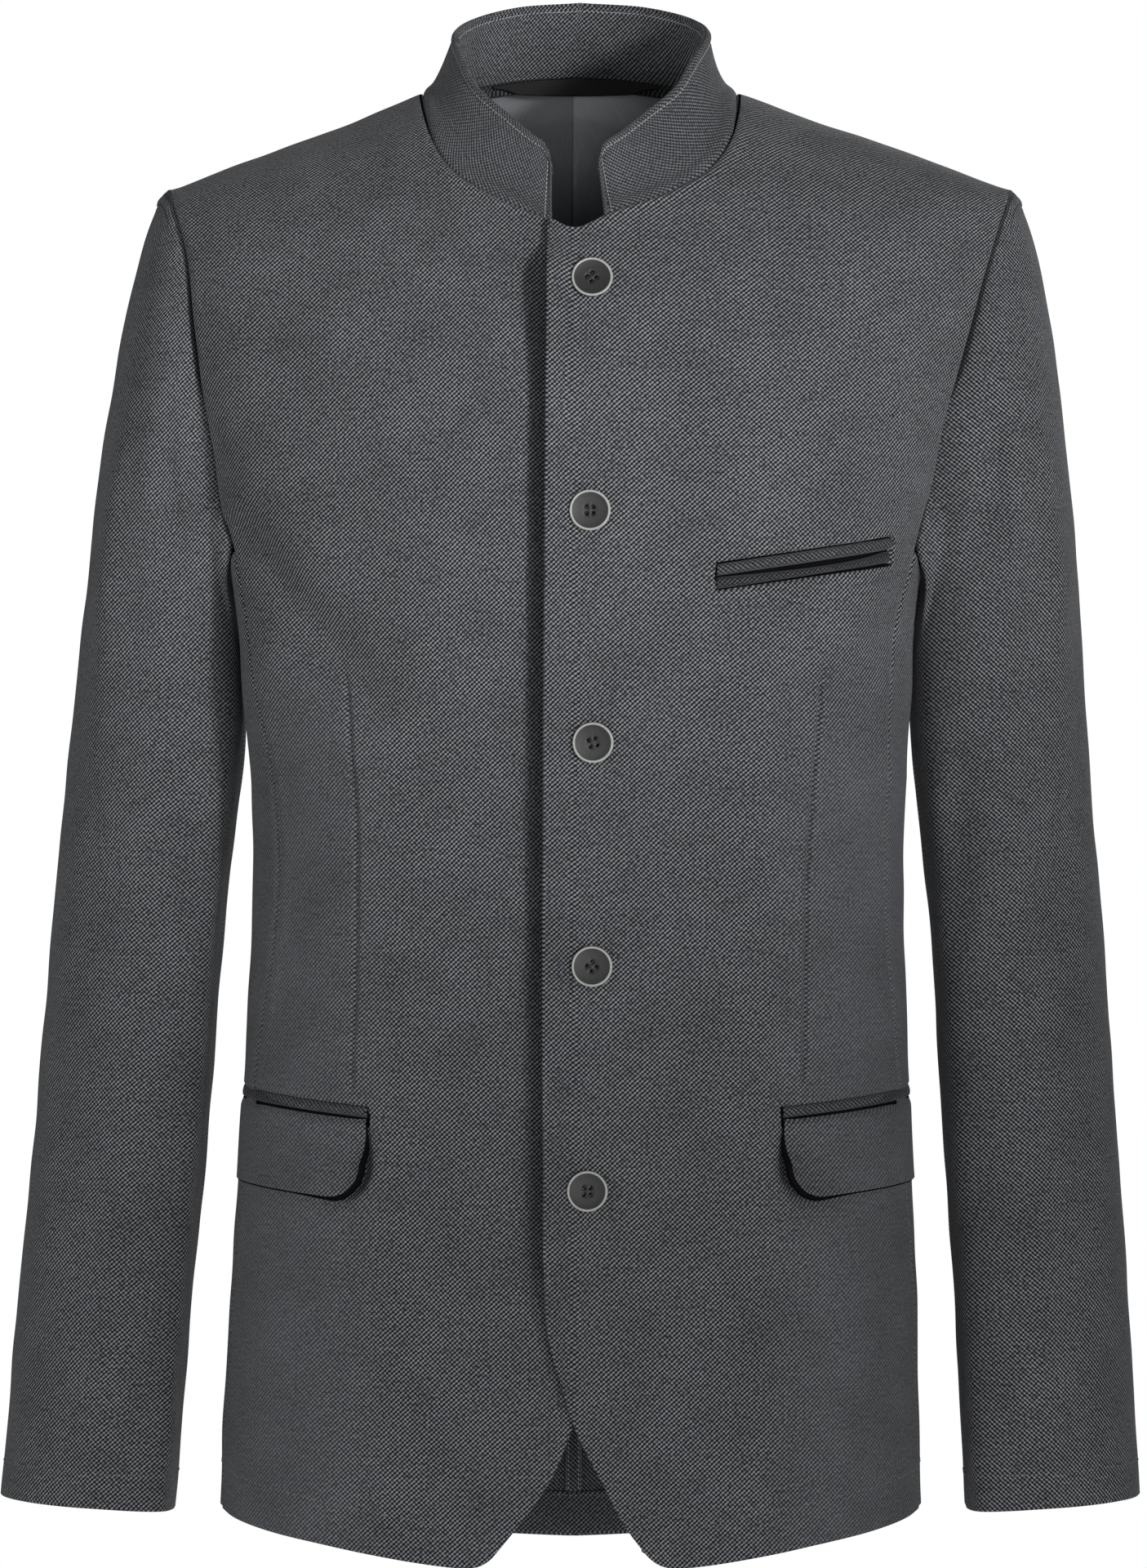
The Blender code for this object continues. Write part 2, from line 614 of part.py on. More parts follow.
def sleeve(turn, run):
    """Points of the sleeve: run 0 is the armhole seam, 1 the end of the head and 2 the cuff."""
    keys = column(CAP, CAP_COLUMNS, "turn")

    def part(name):
        return smooth(keys, column(CAP, CAP_COLUMNS, name), turn)

    top = SLEEVE[0][0]
    cuff = SLEEVE[-1][0]
    seam = armhole(turn)
    out = unit(np.stack([part("out_x"), part("out_y"), part("out_z")], axis=-1))
    start = seam + out * SLEEVE_SEAM
    end = tube(turn, np.full(np.shape(turn), top))
    down = unit(tube(turn, np.full(np.shape(turn), top - 20.0)) - end)
    first = start + out * part("leave")[..., None]
    second = end - down * part("arrive")[..., None]
    t = np.clip(run, 0.0, 1.0)[..., None]
    head = start * (1 - t) ** 3 + 3 * first * t * (1 - t) ** 2 + 3 * second * t * t * (1 - t) + end * t ** 3
    below = tube(turn, top + (cuff - top) * np.clip(run - 1.0, 0.0, 1.0))
    return np.where((run > 1.0)[..., None], below, head)


def add_sleeve(name, side, turns):
    """One piece of a sleeve, with the soft roll at its head."""
    tube_steps = 1.0 + np.linspace(0.0, 1.0, SLEEVE_TUBE_ROWS + 1)
    runs = np.concatenate([SLEEVE_CAP_STEPS, tube_steps])
    turn, run = np.meshgrid(turns, runs)
    run_shift = np.where(run > 1.9, -0.004, 0.004)
    ahead = sleeve(turn, run + run_shift) - sleeve(turn, run)
    ahead *= np.sign(run_shift)[..., None]
    aside = sleeve(turn + 0.5, run) - sleeve(turn - 0.5, run)
    out = unit(np.cross(aside, ahead))
    away = np.abs((turn + 180.0) % 360.0 - 180.0)
    roll = np.where(np.isclose(run, SLEEVE_CAP_STEPS[1]), ROPE_HEIGHT, 0.0)
    roll *= 1 - ramp(away, ROPE_FULL, ROPE_END)
    outer = sleeve(turn, run) + out * roll[..., None]
    outer = inset(outer, SEAM_GAP / 2)
    inner = outer - out * CLOTH
    to_middle = np.array([0.0, ARMHOLE_CENTRE_Y, ARMHOLE_CENTRE_Z]) - outer[0]
    to_middle[:, 0] = 0.0
    inner[0] = outer[0] + unit(to_middle) * CLOTH
    add_wall(name, mirrored(outer, side), mirrored(inner, side), CLOTH_LOOK)


def add_sleeves():
    """Upper and under sleeves, with a column of cells at each point of the armhole."""
    front = LOOP_TURNS[np.argmin(np.abs(LOOP_TURNS - SLEEVE_FRONT_SEAM))]
    back = LOOP_TURNS[np.argmin(np.abs(LOOP_TURNS - SLEEVE_BACK_SEAM))]
    under = LOOP_TURNS[(LOOP_TURNS >= front) & (LOOP_TURNS <= back)]
    upper = LOOP_TURNS[(LOOP_TURNS >= back - 360.0) & (LOOP_TURNS <= front)]
    for side, word in ((1, "left"), (-1, "right")):
        add_sleeve("sleeve_upper_" + word, side, upper)
        add_sleeve("sleeve_under_" + word, side, under)


def neck_line(side):
    """The panels' points along half of the neckline to the collar's front end, and their distances."""
    back_turn, back_level = back_neck(BACK_NECK_SHARES)
    back = skin(back_turn, back_level)
    corner = NECK_CORNER_OVER if side > 0 else NECK_CORNER_UNDER
    front_turn, front_level = front_neck(corner, FRONT_NECK_SHARES[::-1])
    front = skin(front_turn, front_level)
    if side > 0:
        front += skin_facing(front_turn, front_level) * lap_lift(front)[:, None]
    line = np.concatenate([back, front[1:]])
    run = np.concatenate([[0.0], np.cumsum(np.linalg.norm(np.diff(line, axis=0), axis=1))])
    end_x = COLLAR_END_LEFT if side > 0 else COLLAR_END_RIGHT
    last = len(back) + int(np.argmax(front[1:, 0] < end_x))
    part = (line[last - 1, 0] - end_x) / (line[last - 1, 0] - line[last, 0])
    length = run[last - 1] + part * (run[last] - run[last - 1])
    end = line[last - 1] + part * (line[last] - line[last - 1])
    return np.concatenate([line[:last], end[None]]), np.concatenate([run[:last], [length]])


def collar_half(side, heights):
    """Points of half of the collar from the back's middle forward: height 0 is the neck seam."""
    line, run = neck_line(side)
    near_end = run[-1] - np.array(COLLAR_CORNER_STEPS)
    places = np.sort(np.concatenate([run[run < near_end[0] - 2.0], near_end, run[-1:]]))
    base = np.stack([np.interp(places, run, line[:, k]) for k in range(3)], axis=-1)
    shares = places / run[-1]
    keys = column(COLLAR_TOP, COLLAR_COLUMNS, "share")
    top = np.stack([smooth(keys, column(COLLAR_TOP, COLLAR_COLUMNS, k), shares) for k in "xyz"], axis=-1)
    to_end = run[-1] - places
    tall = np.linalg.norm(top - base, axis=1)
    inside = np.clip(COLLAR_CORNER - to_end, 0.0, COLLAR_CORNER)
    reach = 1 - (COLLAR_CORNER - np.sqrt(COLLAR_CORNER ** 2 - inside ** 2)) / tall
    height = reach[:, None] * heights[None, :]
    points = base[:, None] + (top - base)[:, None] * height[..., None]
    along = unit(np.gradient(base, axis=0))
    outward = unit(np.cross(unit(top - base), along))
    points -= outward[:, None] * (COLLAR_HOLLOW * np.sin(np.pi * height ** 0.7))[..., None]
    points += unit(top - base)[:, None] * COLLAR_SEAM
    points = points * np.array([side, 1.0, 1.0])
    points[..., 0] += COLLAR_LEAN * ramp(points[..., 2], COLLAR_LEAN_START, COLLAR_LEAN_FULL)
    return points


def add_collar():
    """The outer and the inner collar, each one piece from front to front."""
    heights = np.linspace(0.0, 1.0, COLLAR_ROWS + 1)
    left = collar_half(1, heights)
    right = collar_half(-1, heights)
    grid = np.concatenate([right[::-1], left[1:]])
    along = np.gradient(grid, axis=0)
    upward = np.gradient(grid, axis=1)
    out = unit(np.cross(along, upward))
    if out[len(out) // 2, 0, 1] < 0:
        out = -out
    depth = COLLAR_CLOTH + COLLAR_LAYER_GAP
    add_wall("collar_outer", grid, grid - out * COLLAR_CLOTH, CLOTH_LOOK)
    cells = grid.copy()
    grid[:, 0] += (grid[:, 1] - grid[:, 0]) * COLLAR_INNER_START
    out[:, 0] += (out[:, 1] - out[:, 0]) * COLLAR_INNER_START
    add_wall("collar_inner", grid - out * depth, grid - out * (depth + COLLAR_CLOTH), CLOTH_LOOK, cells)


def rounded_depth(distance, length, depth, radius):
    """Depth of a strip with rounded lower corners, at a distance along it."""
    near = np.minimum(distance, length - distance)
    inside = np.clip(radius - near, 0.0, radius)
    return depth - radius + np.sqrt(radius ** 2 - inside ** 2)


def add_hip_pocket(side, word, flap_stand):
    """A flap with the jet above it, lying on the front and the side panel."""
    start_turn, _ = front_place(FLAP_START, FLAP_TOP)
    shares = (1 - np.cos(np.linspace(0.0, np.pi, FLAP_STEPS + 1))) / 2
    turns = start_turn + (FLAP_END_TURN - start_turn) * shares
    tops = FLAP_TOP + FLAP_TOP_RISE * np.sin(np.pi / 2 * shares)
    edge = skin(turns, tops)
    distance = np.concatenate([[0.0], np.cumsum(np.linalg.norm(np.diff(edge, axis=0), axis=1))])
    depths = rounded_depth(distance, distance[-1], FLAP_DEPTH, FLAP_CORNER)
    down = np.linspace(0.0, 1.0, FLAP_ROWS + 1)
    turn = np.repeat(turns[None, :], len(down), axis=0)
    level = tops[None, :] - depths[None, :] * down[:, None]
    stand = flap_stand * down[:, None] ** 2 + FLAP_BACK_STAND * shares[None, :] ** 3 * down[:, None]
    add_skin_wall("flap_" + word, side, turn, level, LAY_GAP + FLAP_CLOTH + stand, FLAP_CLOTH, CLOTH_LOOK)
    rise = np.linspace(0.0, 1.0, JET_ROWS + 1)
    turn = np.repeat(turns[None, :], len(rise), axis=0)
    level = tops[None, :] + SEAM_GAP + JET_WIDTH * rise[:, None]
    swell = JET_SWELL * np.sin(np.pi * rise)[:, None] * np.ones(turn.shape)
    add_skin_wall("jet_" + word, side, turn, level, LAY_GAP + CLOTH + swell, CLOTH, CLOTH_LOOK)


def add_chest_pocket():
    """Two jets, one each side of a slanting slit on the left front."""
    shares = np.linspace(0.0, 1.0, CHEST_STEPS + 1)
    x = CHEST_START[0] + (CHEST_END[0] - CHEST_START[0]) * shares
    slit = CHEST_START[1] + (CHEST_END[1] - CHEST_START[1]) * shares
    rise = np.linspace(0.0, 1.0, JET_ROWS + 1)
    for word, direction in (("upper", 1.0), ("lower", -1.0)):
        z = slit[None, :] + direction * (CHEST_SLIT + JET_WIDTH * rise[:, None])
        turn, level = front_place(np.repeat(x[None, :], len(rise), axis=0), z)
        swell = JET_SWELL * np.sin(np.pi * rise)[:, None] * np.ones(turn.shape)
        add_skin_wall("chest_jet_" + word, 1, turn, level, LAY_GAP + CLOTH + swell, CLOTH, CLOTH_LOOK)


def add_lining():
    """The upper back's lining in two halves, the left one pleated, and the tape below the collar."""
    turn, level = back_grid()
    kept = level[:, -1] > LINING_BOTTOM
    turn, level = turn[kept], level[kept]
    out = skin_facing(turn, level)
    below_neck = np.where(turn[:, -1] > 179.9, 1 - ramp(level[:, -1], PLEAT_FULL, PLEAT_END), 0.0)
    for side, word, pleat in ((1, "left", PLEAT_HEIGHT), (-1, "right", 0.0)):
        depth = np.full(turn.shape, CLOTH + LINING_GAP)
        depth[:, -1] += pleat * below_neck
        grid = inset(skin(turn, level) - out * depth[..., None], LINING_INSET, SEAM_GAP / 2)
        back = mirrored(grid - out * LINING_CLOTH, side)
        cells = mirrored(skin(turn, level), side)
        add_wall("lining_" + word, mirrored(grid, side), back, LINING_LOOK, cells)
    x = np.linspace(-TAPE_HALF, TAPE_HALF, TAPE_STEPS + 1)
    drop = np.linspace(0.0, 1.0, JET_ROWS + 1)
    z = TAPE_TOP - TAPE_SAG * (np.abs(x) / TAPE_HALF) ** 2 - TAPE_WIDTH * drop[:, None]
    turn, level = back_place(np.abs(np.repeat(x[None, :], len(drop), axis=0)), z)
    side = np.sign(x)[None, :, None]
    flip = np.concatenate([np.where(side == 0, 1.0, side), np.ones((1, len(x), 2))], axis=2)
    out = skin_facing(turn, level)
    outer = (skin(turn, level) - out * (CLOTH + LINING_GAP + LINING_CLOTH + TAPE_STAND)) * flip
    add_wall("neck_tape", outer, outer - out * flip * LINING_CLOTH, TAPE_LOOK)


def add_back_inside():
    """The back's hem turned up inside, and the strip of seam cloth up its middle."""
    low = hem(seam_turn("back_turn", BACK_SEAM_FOOT))
    first = seam_turn("back_turn", low) + 1.0
    turns = np.linspace(first, 180.0, BACK_COLUMNS + 1)
    turn = np.repeat(turns[None, :], 2, axis=0)
    level = hem(turns)[None, :] + np.array([[1.0], [TURN_UP]])
    out = skin_facing(turn, level)
    half = skin(turn, level) - out * (CLOTH + LAY_GAP)
    grid = np.concatenate([half, mirrored(half[:, -2::-1], -1)], axis=1)
    out = np.concatenate([out, mirrored(out[:, -2::-1], -1)], axis=1)
    add_wall("back_hem", grid, grid - out * LINING_CLOTH, CLOTH_LOOK)
    foot = hem(180.0) + TURN_UP + 1.0
    level = np.linspace(foot, STRIP_TOP, STRIP_ROWS + 1)[:, None] * np.ones((1, 3))
    middle = skin(np.full(level.shape, 180.0), level)
    out = skin_facing(np.full(level.shape, 180.0), level)
    outer = middle - out * (CLOTH + LINING_GAP)
    outer[..., 0] = np.array([STRIP_HALF, 0.0, -STRIP_HALF])[None, :]
    add_wall("seam_strip", outer, outer - out * LINING_CLOTH, CLOTH_LOOK)


def button_rings():
    """Rings of a button from its dish round the rim to its under side, as radius and height."""
    dish = BUTTON_THICK - BUTTON_DISH_DEPTH
    return ((BUTTON_DISH, dish), (BUTTON_RIM - 0.6, BUTTON_THICK - 0.15), (BUTTON_RIM, BUTTON_THICK),
            (BUTTON_RADIUS - 0.3, BUTTON_THICK - 0.2), (BUTTON_RADIUS, BUTTON_THICK - 1.0),
            (BUTTON_DISH, 0.0))


def add_button(name, height, quarter_turn):
    """A button with four holes: each quarter of its dish is a fan of faces round one hole."""
    c = BUTTON_HOLE_OUT
    r = BUTTON_DISH
    side = math.sqrt(r * r - c * c)
    corner = r * math.sqrt(0.5)
    around = ((side, c), (corner, corner), (c, side), (0.0, r), (0.0, 2 * c), (0.0, c), (0.0, 0.0),
              (c, 0.0), (2 * c, 0.0), (r, 0.0))
    points = []
    faces = []
    index = {}

    def point(x, y, z):
        key = (round(x, 4), round(y, 4), round(z, 4))
        if key not in index:
            index[key] = len(points)
            points.append((x, y, z))
        return index[key]

    def quad(a, b, c_, d):
        faces.append((a, b, c_))
        faces.append((a, c_, d))

    dish = BUTTON_THICK - BUTTON_DISH_DEPTH
    rim_turns = []
    for quarter in range(4):
        cosine, sine = round(math.cos(quarter * math.pi / 2)), round(math.sin(quarter * math.pi / 2))
        outline = [(x * cosine - y * sine, x * sine + y * cosine) for x, y in around]
        centre = (c * cosine - c * sine, c * sine + c * cosine)
        hole = []
        for x, y in outline:
            away = math.hypot(x - centre[0], y - centre[1])
            hole.append((centre[0] + (x - centre[0]) / away * BUTTON_HOLE_RADIUS,
                         centre[1] + (y - centre[1]) / away * BUTTON_HOLE_RADIUS))
        for k in range(10):
            n = (k + 1) % 10
            corners = (outline[k], outline[n], hole[n], hole[k])
            top = [point(*corner_place, dish) for corner_place in corners]
            low = [point(*corner_place, 0.0) for corner_place in corners]
            quad(*top)
            quad(*low[::-1])
            quad(top[3], top[2], low[2], low[3])
        for x, y in (outline[9], outline[0], outline[1], outline[2]):
            rim_turns.append(math.atan2(y, x))
    rings = button_rings()
    for (radius, z), (next_radius, next_z) in zip(rings, rings[1:]):
        for k in range(len(rim_turns)):
            first, second = rim_turns[k], rim_turns[(k + 1) % len(rim_turns)]
            quad(point(radius * math.cos(first), radius * math.sin(first), z),
                 point(next_radius * math.cos(first), next_radius * math.sin(first), next_z),
                 point(next_radius * math.cos(second), next_radius * math.sin(second), next_z),
                 point(radius * math.cos(second), radius * math.sin(second), z))
    turn, level = front_place(BUTTON_X, height)
    out = skin_facing(np.array([turn]), np.array([level]))[0]
    seat = skin(np.array([turn]), np.array([level]))[0] + out * (LAP_LIFT + LAY_GAP)
    flat = unit(np.cross(np.array([0.0, 0.0, 1.0]), out))
    upward = np.cross(out, flat)
    spin = math.radians(quarter_turn)
    first_way = flat * math.cos(spin) + upward * math.sin(spin)
    second_way = np.cross(out, first_way)
    places = [seat + first_way * x + second_way * y + out * z for x, y, z in points]
    add_object(name, places, faces, BUTTON_LOOK)


for old in list(bpy.data.objects):
    bpy.data.objects.remove(old)
add_body()
add_sleeves()
add_collar()
add_hip_pocket(1, "left", FLAP_STAND_LEFT)
add_hip_pocket(-1, "right", FLAP_STAND_RIGHT)
add_chest_pocket()
for number, (button_height, button_turn) in enumerate(zip(BUTTON_HEIGHTS, BUTTON_TURNS), start=1):
    add_button("button_%d" % number, button_height, button_turn)
add_lining()
add_back_inside()
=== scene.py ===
"""Looks of a man's jersey blazer with a stand collar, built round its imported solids.

Each piece of cloth is a fine shell on the form of its solid, with its creases, rolled seams, stitches
and knit. Tables are in millimetres and turns in degrees. +X is the wearer's left, -Y the front and
+Z up, with the origin between the two points where the shoulder seams meet the collar.
"""
import math

import bmesh
import bpy
import numpy as np
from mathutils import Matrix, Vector


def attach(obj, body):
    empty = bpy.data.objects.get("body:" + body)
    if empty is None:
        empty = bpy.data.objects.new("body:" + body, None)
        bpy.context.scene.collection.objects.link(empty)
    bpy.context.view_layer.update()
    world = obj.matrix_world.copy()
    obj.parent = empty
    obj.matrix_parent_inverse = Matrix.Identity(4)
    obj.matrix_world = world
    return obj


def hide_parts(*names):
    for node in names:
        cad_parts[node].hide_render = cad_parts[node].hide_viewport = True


MM = 0.001
SIDES = ((1, "left"), (-1, "right"))

# Cloth, and how far the rims of its shells are rounded, as a share of their thickness
CLOTH = 1.6
COLLAR_CLOTH = 1.5
COLLAR_OVERLAP = 0.1
LINING_CLOTH = 1.0
FLAP_CLOTH = 1.8
LAY_GAP = 0.4
RIM_ROUND = 0.45

# Shoulder line
RIDGE_TOP = 21.8
SHOULDER_SLOPE = 0.405
SHOULDER_SOFT = 40.0
SHOULDER_HOLLOW = 1.5
HOLLOW_PLACE = 118.0
HOLLOW_REACH = 36.0
NECK_POINT = 80.6
SHOULDER_TIP = 214.5

# Roundness of the front and back halves of a section
ROUNDS = {"front": 2.35, "back": 2.5}

# Sections of the body, from the shoulder line down to below the hem
BODY_COLUMNS = ("level", "front_half", "back_half", "middle", "front", "back", "front_drop", "back_drop")
BODY = (
    (RIDGE_TOP, 240.0, 240.0, 0.0, 0.0, 0.0, 1.00, 1.00),
    (18.0, 238.0, 239.0, 0.0, 18.0, 49.0, 0.94, 1.15),
    (6.0, 235.0, 236.0, 0.0, 40.0, 80.0, 0.80, 1.30),
    (-20.0, 229.0, 231.0, -2.0, 68.0, 100.0, 0.56, 1.15),
    (-60.0, 219.0, 222.0, -6.0, 94.0, 112.0, 0.32, 0.75),
    (-112.0, 205.0, 210.0, -12.0, 112.0, 118.0, 0.15, 0.35),
    (-175.0, 187.0, 194.0, -20.0, 121.0, 117.0, 0.05, 0.12),
    (-240.0, 172.5, 172.5, -28.0, 121.0, 109.0, 0.0, 0.0),
    (-300.0, 168.4, 168.4, -30.0, 116.0, 99.0, 0.0, 0.0),
    (-385.0, 164.4, 164.4, -30.0, 110.0, 92.0, 0.0, 0.0),
    (-500.0, 168.0, 168.0, -27.0, 115.0, 107.0, 0.0, 0.0),
    (-640.0, 174.6, 174.6, -24.0, 119.0, 112.0, 0.0, 0.0),
    (-750.0, 178.0, 178.0, -22.0, 118.0, 108.0, 0.0, 0.0),
)

# How the body is read: its lowest level, the halvings of a search, the steps of turn and level that give its
# facing, how near a level is to the shoulder seam, and the steps along a path
BODY_FOOT = -760.0
LEVEL_HALVINGS = 50
FACING_STEPS = (0.2, 0.8)
SEAM_NEAR = 0.01
PATH_STEPS = 400

# Height of the hem round the body
HEM_COLUMNS = ("turn", "z")
HEM = (
    (0.0, -738.4), (16.0, -735.8), (30.0, -730.3), (43.0, -725.0), (58.0, -720.0),
    (75.0, -715.0), (90.0, -710.5), (115.0, -719.0), (145.0, -733.0), (180.0, -741.0),
)

# Turns of the seams each side of the side panel, with their feet and tops
SEAM_COLUMNS = ("level", "front", "back")
SEAMS = (
    (-750.0, 83.0, 118.0), (-580.0, 79.0, 119.0), (-500.0, 74.0, 120.0), (-430.0, 69.0, 121.0),
    (-380.0, 67.5, 122.0), (-300.0, 72.0, 123.5), (-200.0, 82.0, 125.0),
)
SEAM_FEET = {"front": -716.0, "back": -721.0}
SEAM_TOPS = {"front": -232.0, "back": -207.0}
UNDERARM_DIP = 22.0

# Armholes, from above the seam tops up to the shoulder tip, as places across and heights
ARMHOLES = {
    "front": ((176.0, -210.0), (181.5, -182.0), (186.5, -155.0), (191.0, -130.0),
              (196.0, -105.0), (202.5, -80.0), (209.0, -61.5)),
    "back": ((164.0, -180.0), (172.0, -150.0), (181.0, -120.0), (191.5, -95.0), (203.0, -70.0)),
}

# Front edges: the left front laps over the right one
EDGE_COLUMNS = ("z", "over", "under")
FRONT_EDGE = (
    (-726.8, 34.4, 36.8), (-719.5, 28.8, 30.8), (-694.6, 15.1, 12.8), (-664.0, 0.2, 0.0),
    (-647.0, -5.0, -6.0), (-623.0, -11.5, -13.0), (-585.0, -14.0, -18.5), (-540.0, -14.3, -20.0),
    (-300.0, -14.3, -20.0), (-76.0, -12.3, -20.0),
)
CORNER_RISE = 9.6
CORNER_END = 59.0
CORNER_BEND = 3.4
LAP_LIFT = 3.2
LAP_SPAN = (18.0, 48.0)

# The lap's edge stands off the front below it, most of all at its top corner
LAP_EDGE_LIFT = 6.0
LAP_EDGE_SPAN = (-15.0, 4.0)
LAP_CORNER_LIFT = 4.0
LAP_CORNER_SPAN = (-160.0, -104.0)
LAP_HELD = 0.85
LAP_HELD_SPAN = (-98.0, -80.0)
LAP_TROUGH = 7.5
LAP_TROUGH_PLACE = 0.5
LAP_TROUGH_REACH = 9.0
LAP_TROUGH_WEDGE = 5.0
LAP_TROUGH_SPAN = (-625.0, -575.0)

# Neckline, from the front corners to the shoulder seam and across the back, as places across and heights
NECKS = {
    "front": ((0.0, -74.8), (12.4, -69.0), (26.0, -63.5), (41.0, -56.8), (50.0, -52.0), (60.6, -45.0),
              (68.0, -37.0), (74.6, -25.0), (78.5, -12.0)),
    "back": ((0.0, 14.0), (20.0, 12.8), (40.0, 9.6), (58.0, 5.6), (72.0, 2.8)),
}
NECK_CORNERS = {1: (-12.3, -76.0), -1: (-20.0, -78.5)}
NECK_END = 0.9999
NECK_STEPS = 160
NECK_PEAK = 5.2
NECK_PEAK_REACH = 7.0
NECK_PEAK_START = -105.0

# Top edge of the collar, from the back to its front corner
COLLAR_COLUMNS = ("share", "x", "y", "z")
COLLAR_TOP = (
    (0.0, 0.0, 52.0, 53.0), (0.16, 34.0, 42.0, 49.5), (0.30, 57.0, 20.0, 41.5), (0.42, 64.0, -8.0, 32.5),
    (0.566, 58.0, -35.0, 16.5), (0.675, 49.5, -52.0, 1.0), (0.80, 33.0, -66.0, -14.0),
    (0.92, 19.5, -75.0, -25.5), (1.0, 11.0, -79.0, -31.0),
)
COLLAR_HOLLOW = 3.2
COLLAR_HOLLOW_BEND = 0.7
COLLAR_TUCK = 0.8
COLLAR_LEAN = 3.5
COLLAR_LEAN_SPAN = (5.0, 55.0)
COLLAR_CORNER = 13.0
COLLAR_ENDS = {1: 14.8, -1: 10.2}
# Height of the inner collar's foot, which gets painted shade
COLLAR_SHADE_FOOT = 4.2

# The collar's edge is rolled outside its line of stitches
COLLAR_ROLL = 0.9
COLLAR_GROOVE = 0.8
COLLAR_GROOVE_WIDTH = 1.0

# Sleeve: sections of the tube, and how its head leaves the armhole
SLEEVE_COLUMNS = ("z", "centre_x", "centre_y", "half_width", "half_depth")
SLEEVE = (
    (-285.0, 212.6, 26.0, 43.8, 64.0), (-318.0, 214.4, 26.0, 44.6, 61.5), (-350.0, 217.5, 24.0, 44.3, 59.0),
    (-420.0, 224.3, 19.0, 43.5, 55.0), (-500.0, 229.6, 11.0, 43.8, 52.0), (-610.0, 238.0, 0.0, 43.8, 49.0),
    (-711.5, 244.6, -10.0, 44.0, 47.0),
)
SLEEVE_SLANT = 0.07
SLEEVE_SQUARE = (0.66, 0.52)
SLEEVE_OVERHANG = 1.8
CAP_COLUMNS = ("turn", "out_x", "out_y", "out_z", "leave", "arrive")
CAP = (
    (-90.0, 0.75, 0.35, -0.55, 40.0, 70.0), (0.0, 0.42, 0.0, -0.90, 45.0, 90.0),
    (90.0, 0.80, -0.25, -0.55, 35.0, 70.0), (180.0, 0.35, 0.10, -0.93, 12.0, 14.0),
    (270.0, 0.75, 0.35, -0.55, 40.0, 70.0), (360.0, 0.42, 0.0, -0.90, 45.0, 90.0),
    (450.0, 0.80, -0.25, -0.55, 35.0, 70.0),
)
TUBE_AHEAD = 20.0
ARMHOLE_CENTRE_Y = 8.0
ARMHOLE_CENTRE_Z = -145.0
LOOP_STEPS = (90, 60)
SLEEVE_SEAMS = (176.0, 250.0)
SLEEVE_RADIUS = 52.0

# The sleeve's facing and creases: steps of turn and run, the run that looks back, and where creases begin
SLEEVE_FACING = (0.5, 0.004)
SLEEVE_CUFF_RUN = 1.9
SLEEVE_CREASE_START = 0.25
SLEEVE_WAVE_SHIFT = 300.0
SEAM_HOLD = 24.0

# Flat places of the sleeve: turns of its inner and front stretches, and its head
SLEEVE_INNER = (140.0, 175.0)
SLEEVE_FRONT = (25.0, 60.0)
HEAD_TOP = -60.0
HEAD_INSET = 22.0

# The roped sleeve head, with painted shade in dark lines along the armhole seam and in the groove beside the
# rope
ROPE_HEIGHT = 0.7
ROPE_PLACE = 4.2
ROPE_WIDTH = 1.3
ROPE_GROOVE = 0.8
ROPE_GROOVE_PLACE = 6.2
ROPE_GROOVE_WIDTH = 0.7
ROPE_SPAN = (14.0, 34.0)
ROPE_ROWS = 12.0
ROPE_STEP = 0.6
ROPE_SHADE_BAND = 0.35
ROPE_SHADE_START = 4.0
ROPE_SHADE_END = 30.0
SLEEVE_SHADE_BAND = 2.7

# The sleeve sinks beside the armhole and tucks under the body
SLEEVE_SINK = 2.4
SLEEVE_SINK_REACH = 9.0
SLEEVE_SINK_START = (14.0, 68.0)
SLEEVE_SINK_END = (120.0, 150.0)
SLEEVE_TUCK = 2.6
SLEEVE_TUCK_REACH = 3.0
ARMPIT_TUCK = 8.0
ARMPIT_TUCK_REACH = 9.0
ARMPIT_TURN = 118.0
ARMPIT_SPAN = 18.0

# Flaps of the hip pockets
FLAP_START = 104.0
FLAP_END_TURN = 98.0
FLAP_TOP = -515.0
FLAP_TOP_RISE = 8.5
FLAP_LENGTH = 150.0
FLAP_DEPTH = 40.5
FLAP_CORNER = 18.0
FLAP_STAND = {"left": 2.2, "right": 0.8}
FLAP_REST = 0.7
FLAP_REST_START = 0.35
FLAP_CORNER_LIFT = 5.2
FLAP_CORNER_REACH = 22.0
FLAP_BOW = 0.5
FLAP_BOW_REACH = 14.0
FLAP_GAP = 0.5
FLAP_FLUSH = 0.75
# The flap's dark underside spreads past its front corner as painted shade for the gap under it, by these
# amounts, steps and sink
FLAP_SHADE_PEEK = 2.6
FLAP_SHADE_PEEK_DOWN = (0.1, 1.0)
FLAP_SHADE_PEEK_ALONG = (8.0, 40.0)
FLAP_SHADE_PEEK_DROP = 0.4
FLAP_TUCK = 2.4
FLAP_TUCK_REACH = 2.0

# The cloth below the hip pockets is pressed in; round the jets it takes the dark pocket cloth, the pocket's
# inside between jet and flap and painted shade in the grooves above and below the jet
POCKET_SINK = 1.7
POCKET_SOFT = 5.0
POCKET_ENDS = ((-0.02, 0.01), (0.98, 1.02))
POCKET_TOP = (-1.6, 0.3)
POCKET_CORNER_SINK = 5.5
POCKET_CORNER_REACH = 20.0
POCKET_CORNER_PLACE = 0.6
POCKET_CORNER_WIDTH = 2.8
POCKET_SHADE_LINE = 0.8
POCKET_SHADE_LOW = 3.0
POCKET_SHADE_END = 0.012
POCKET_SHADE_FAR_END = 0.60

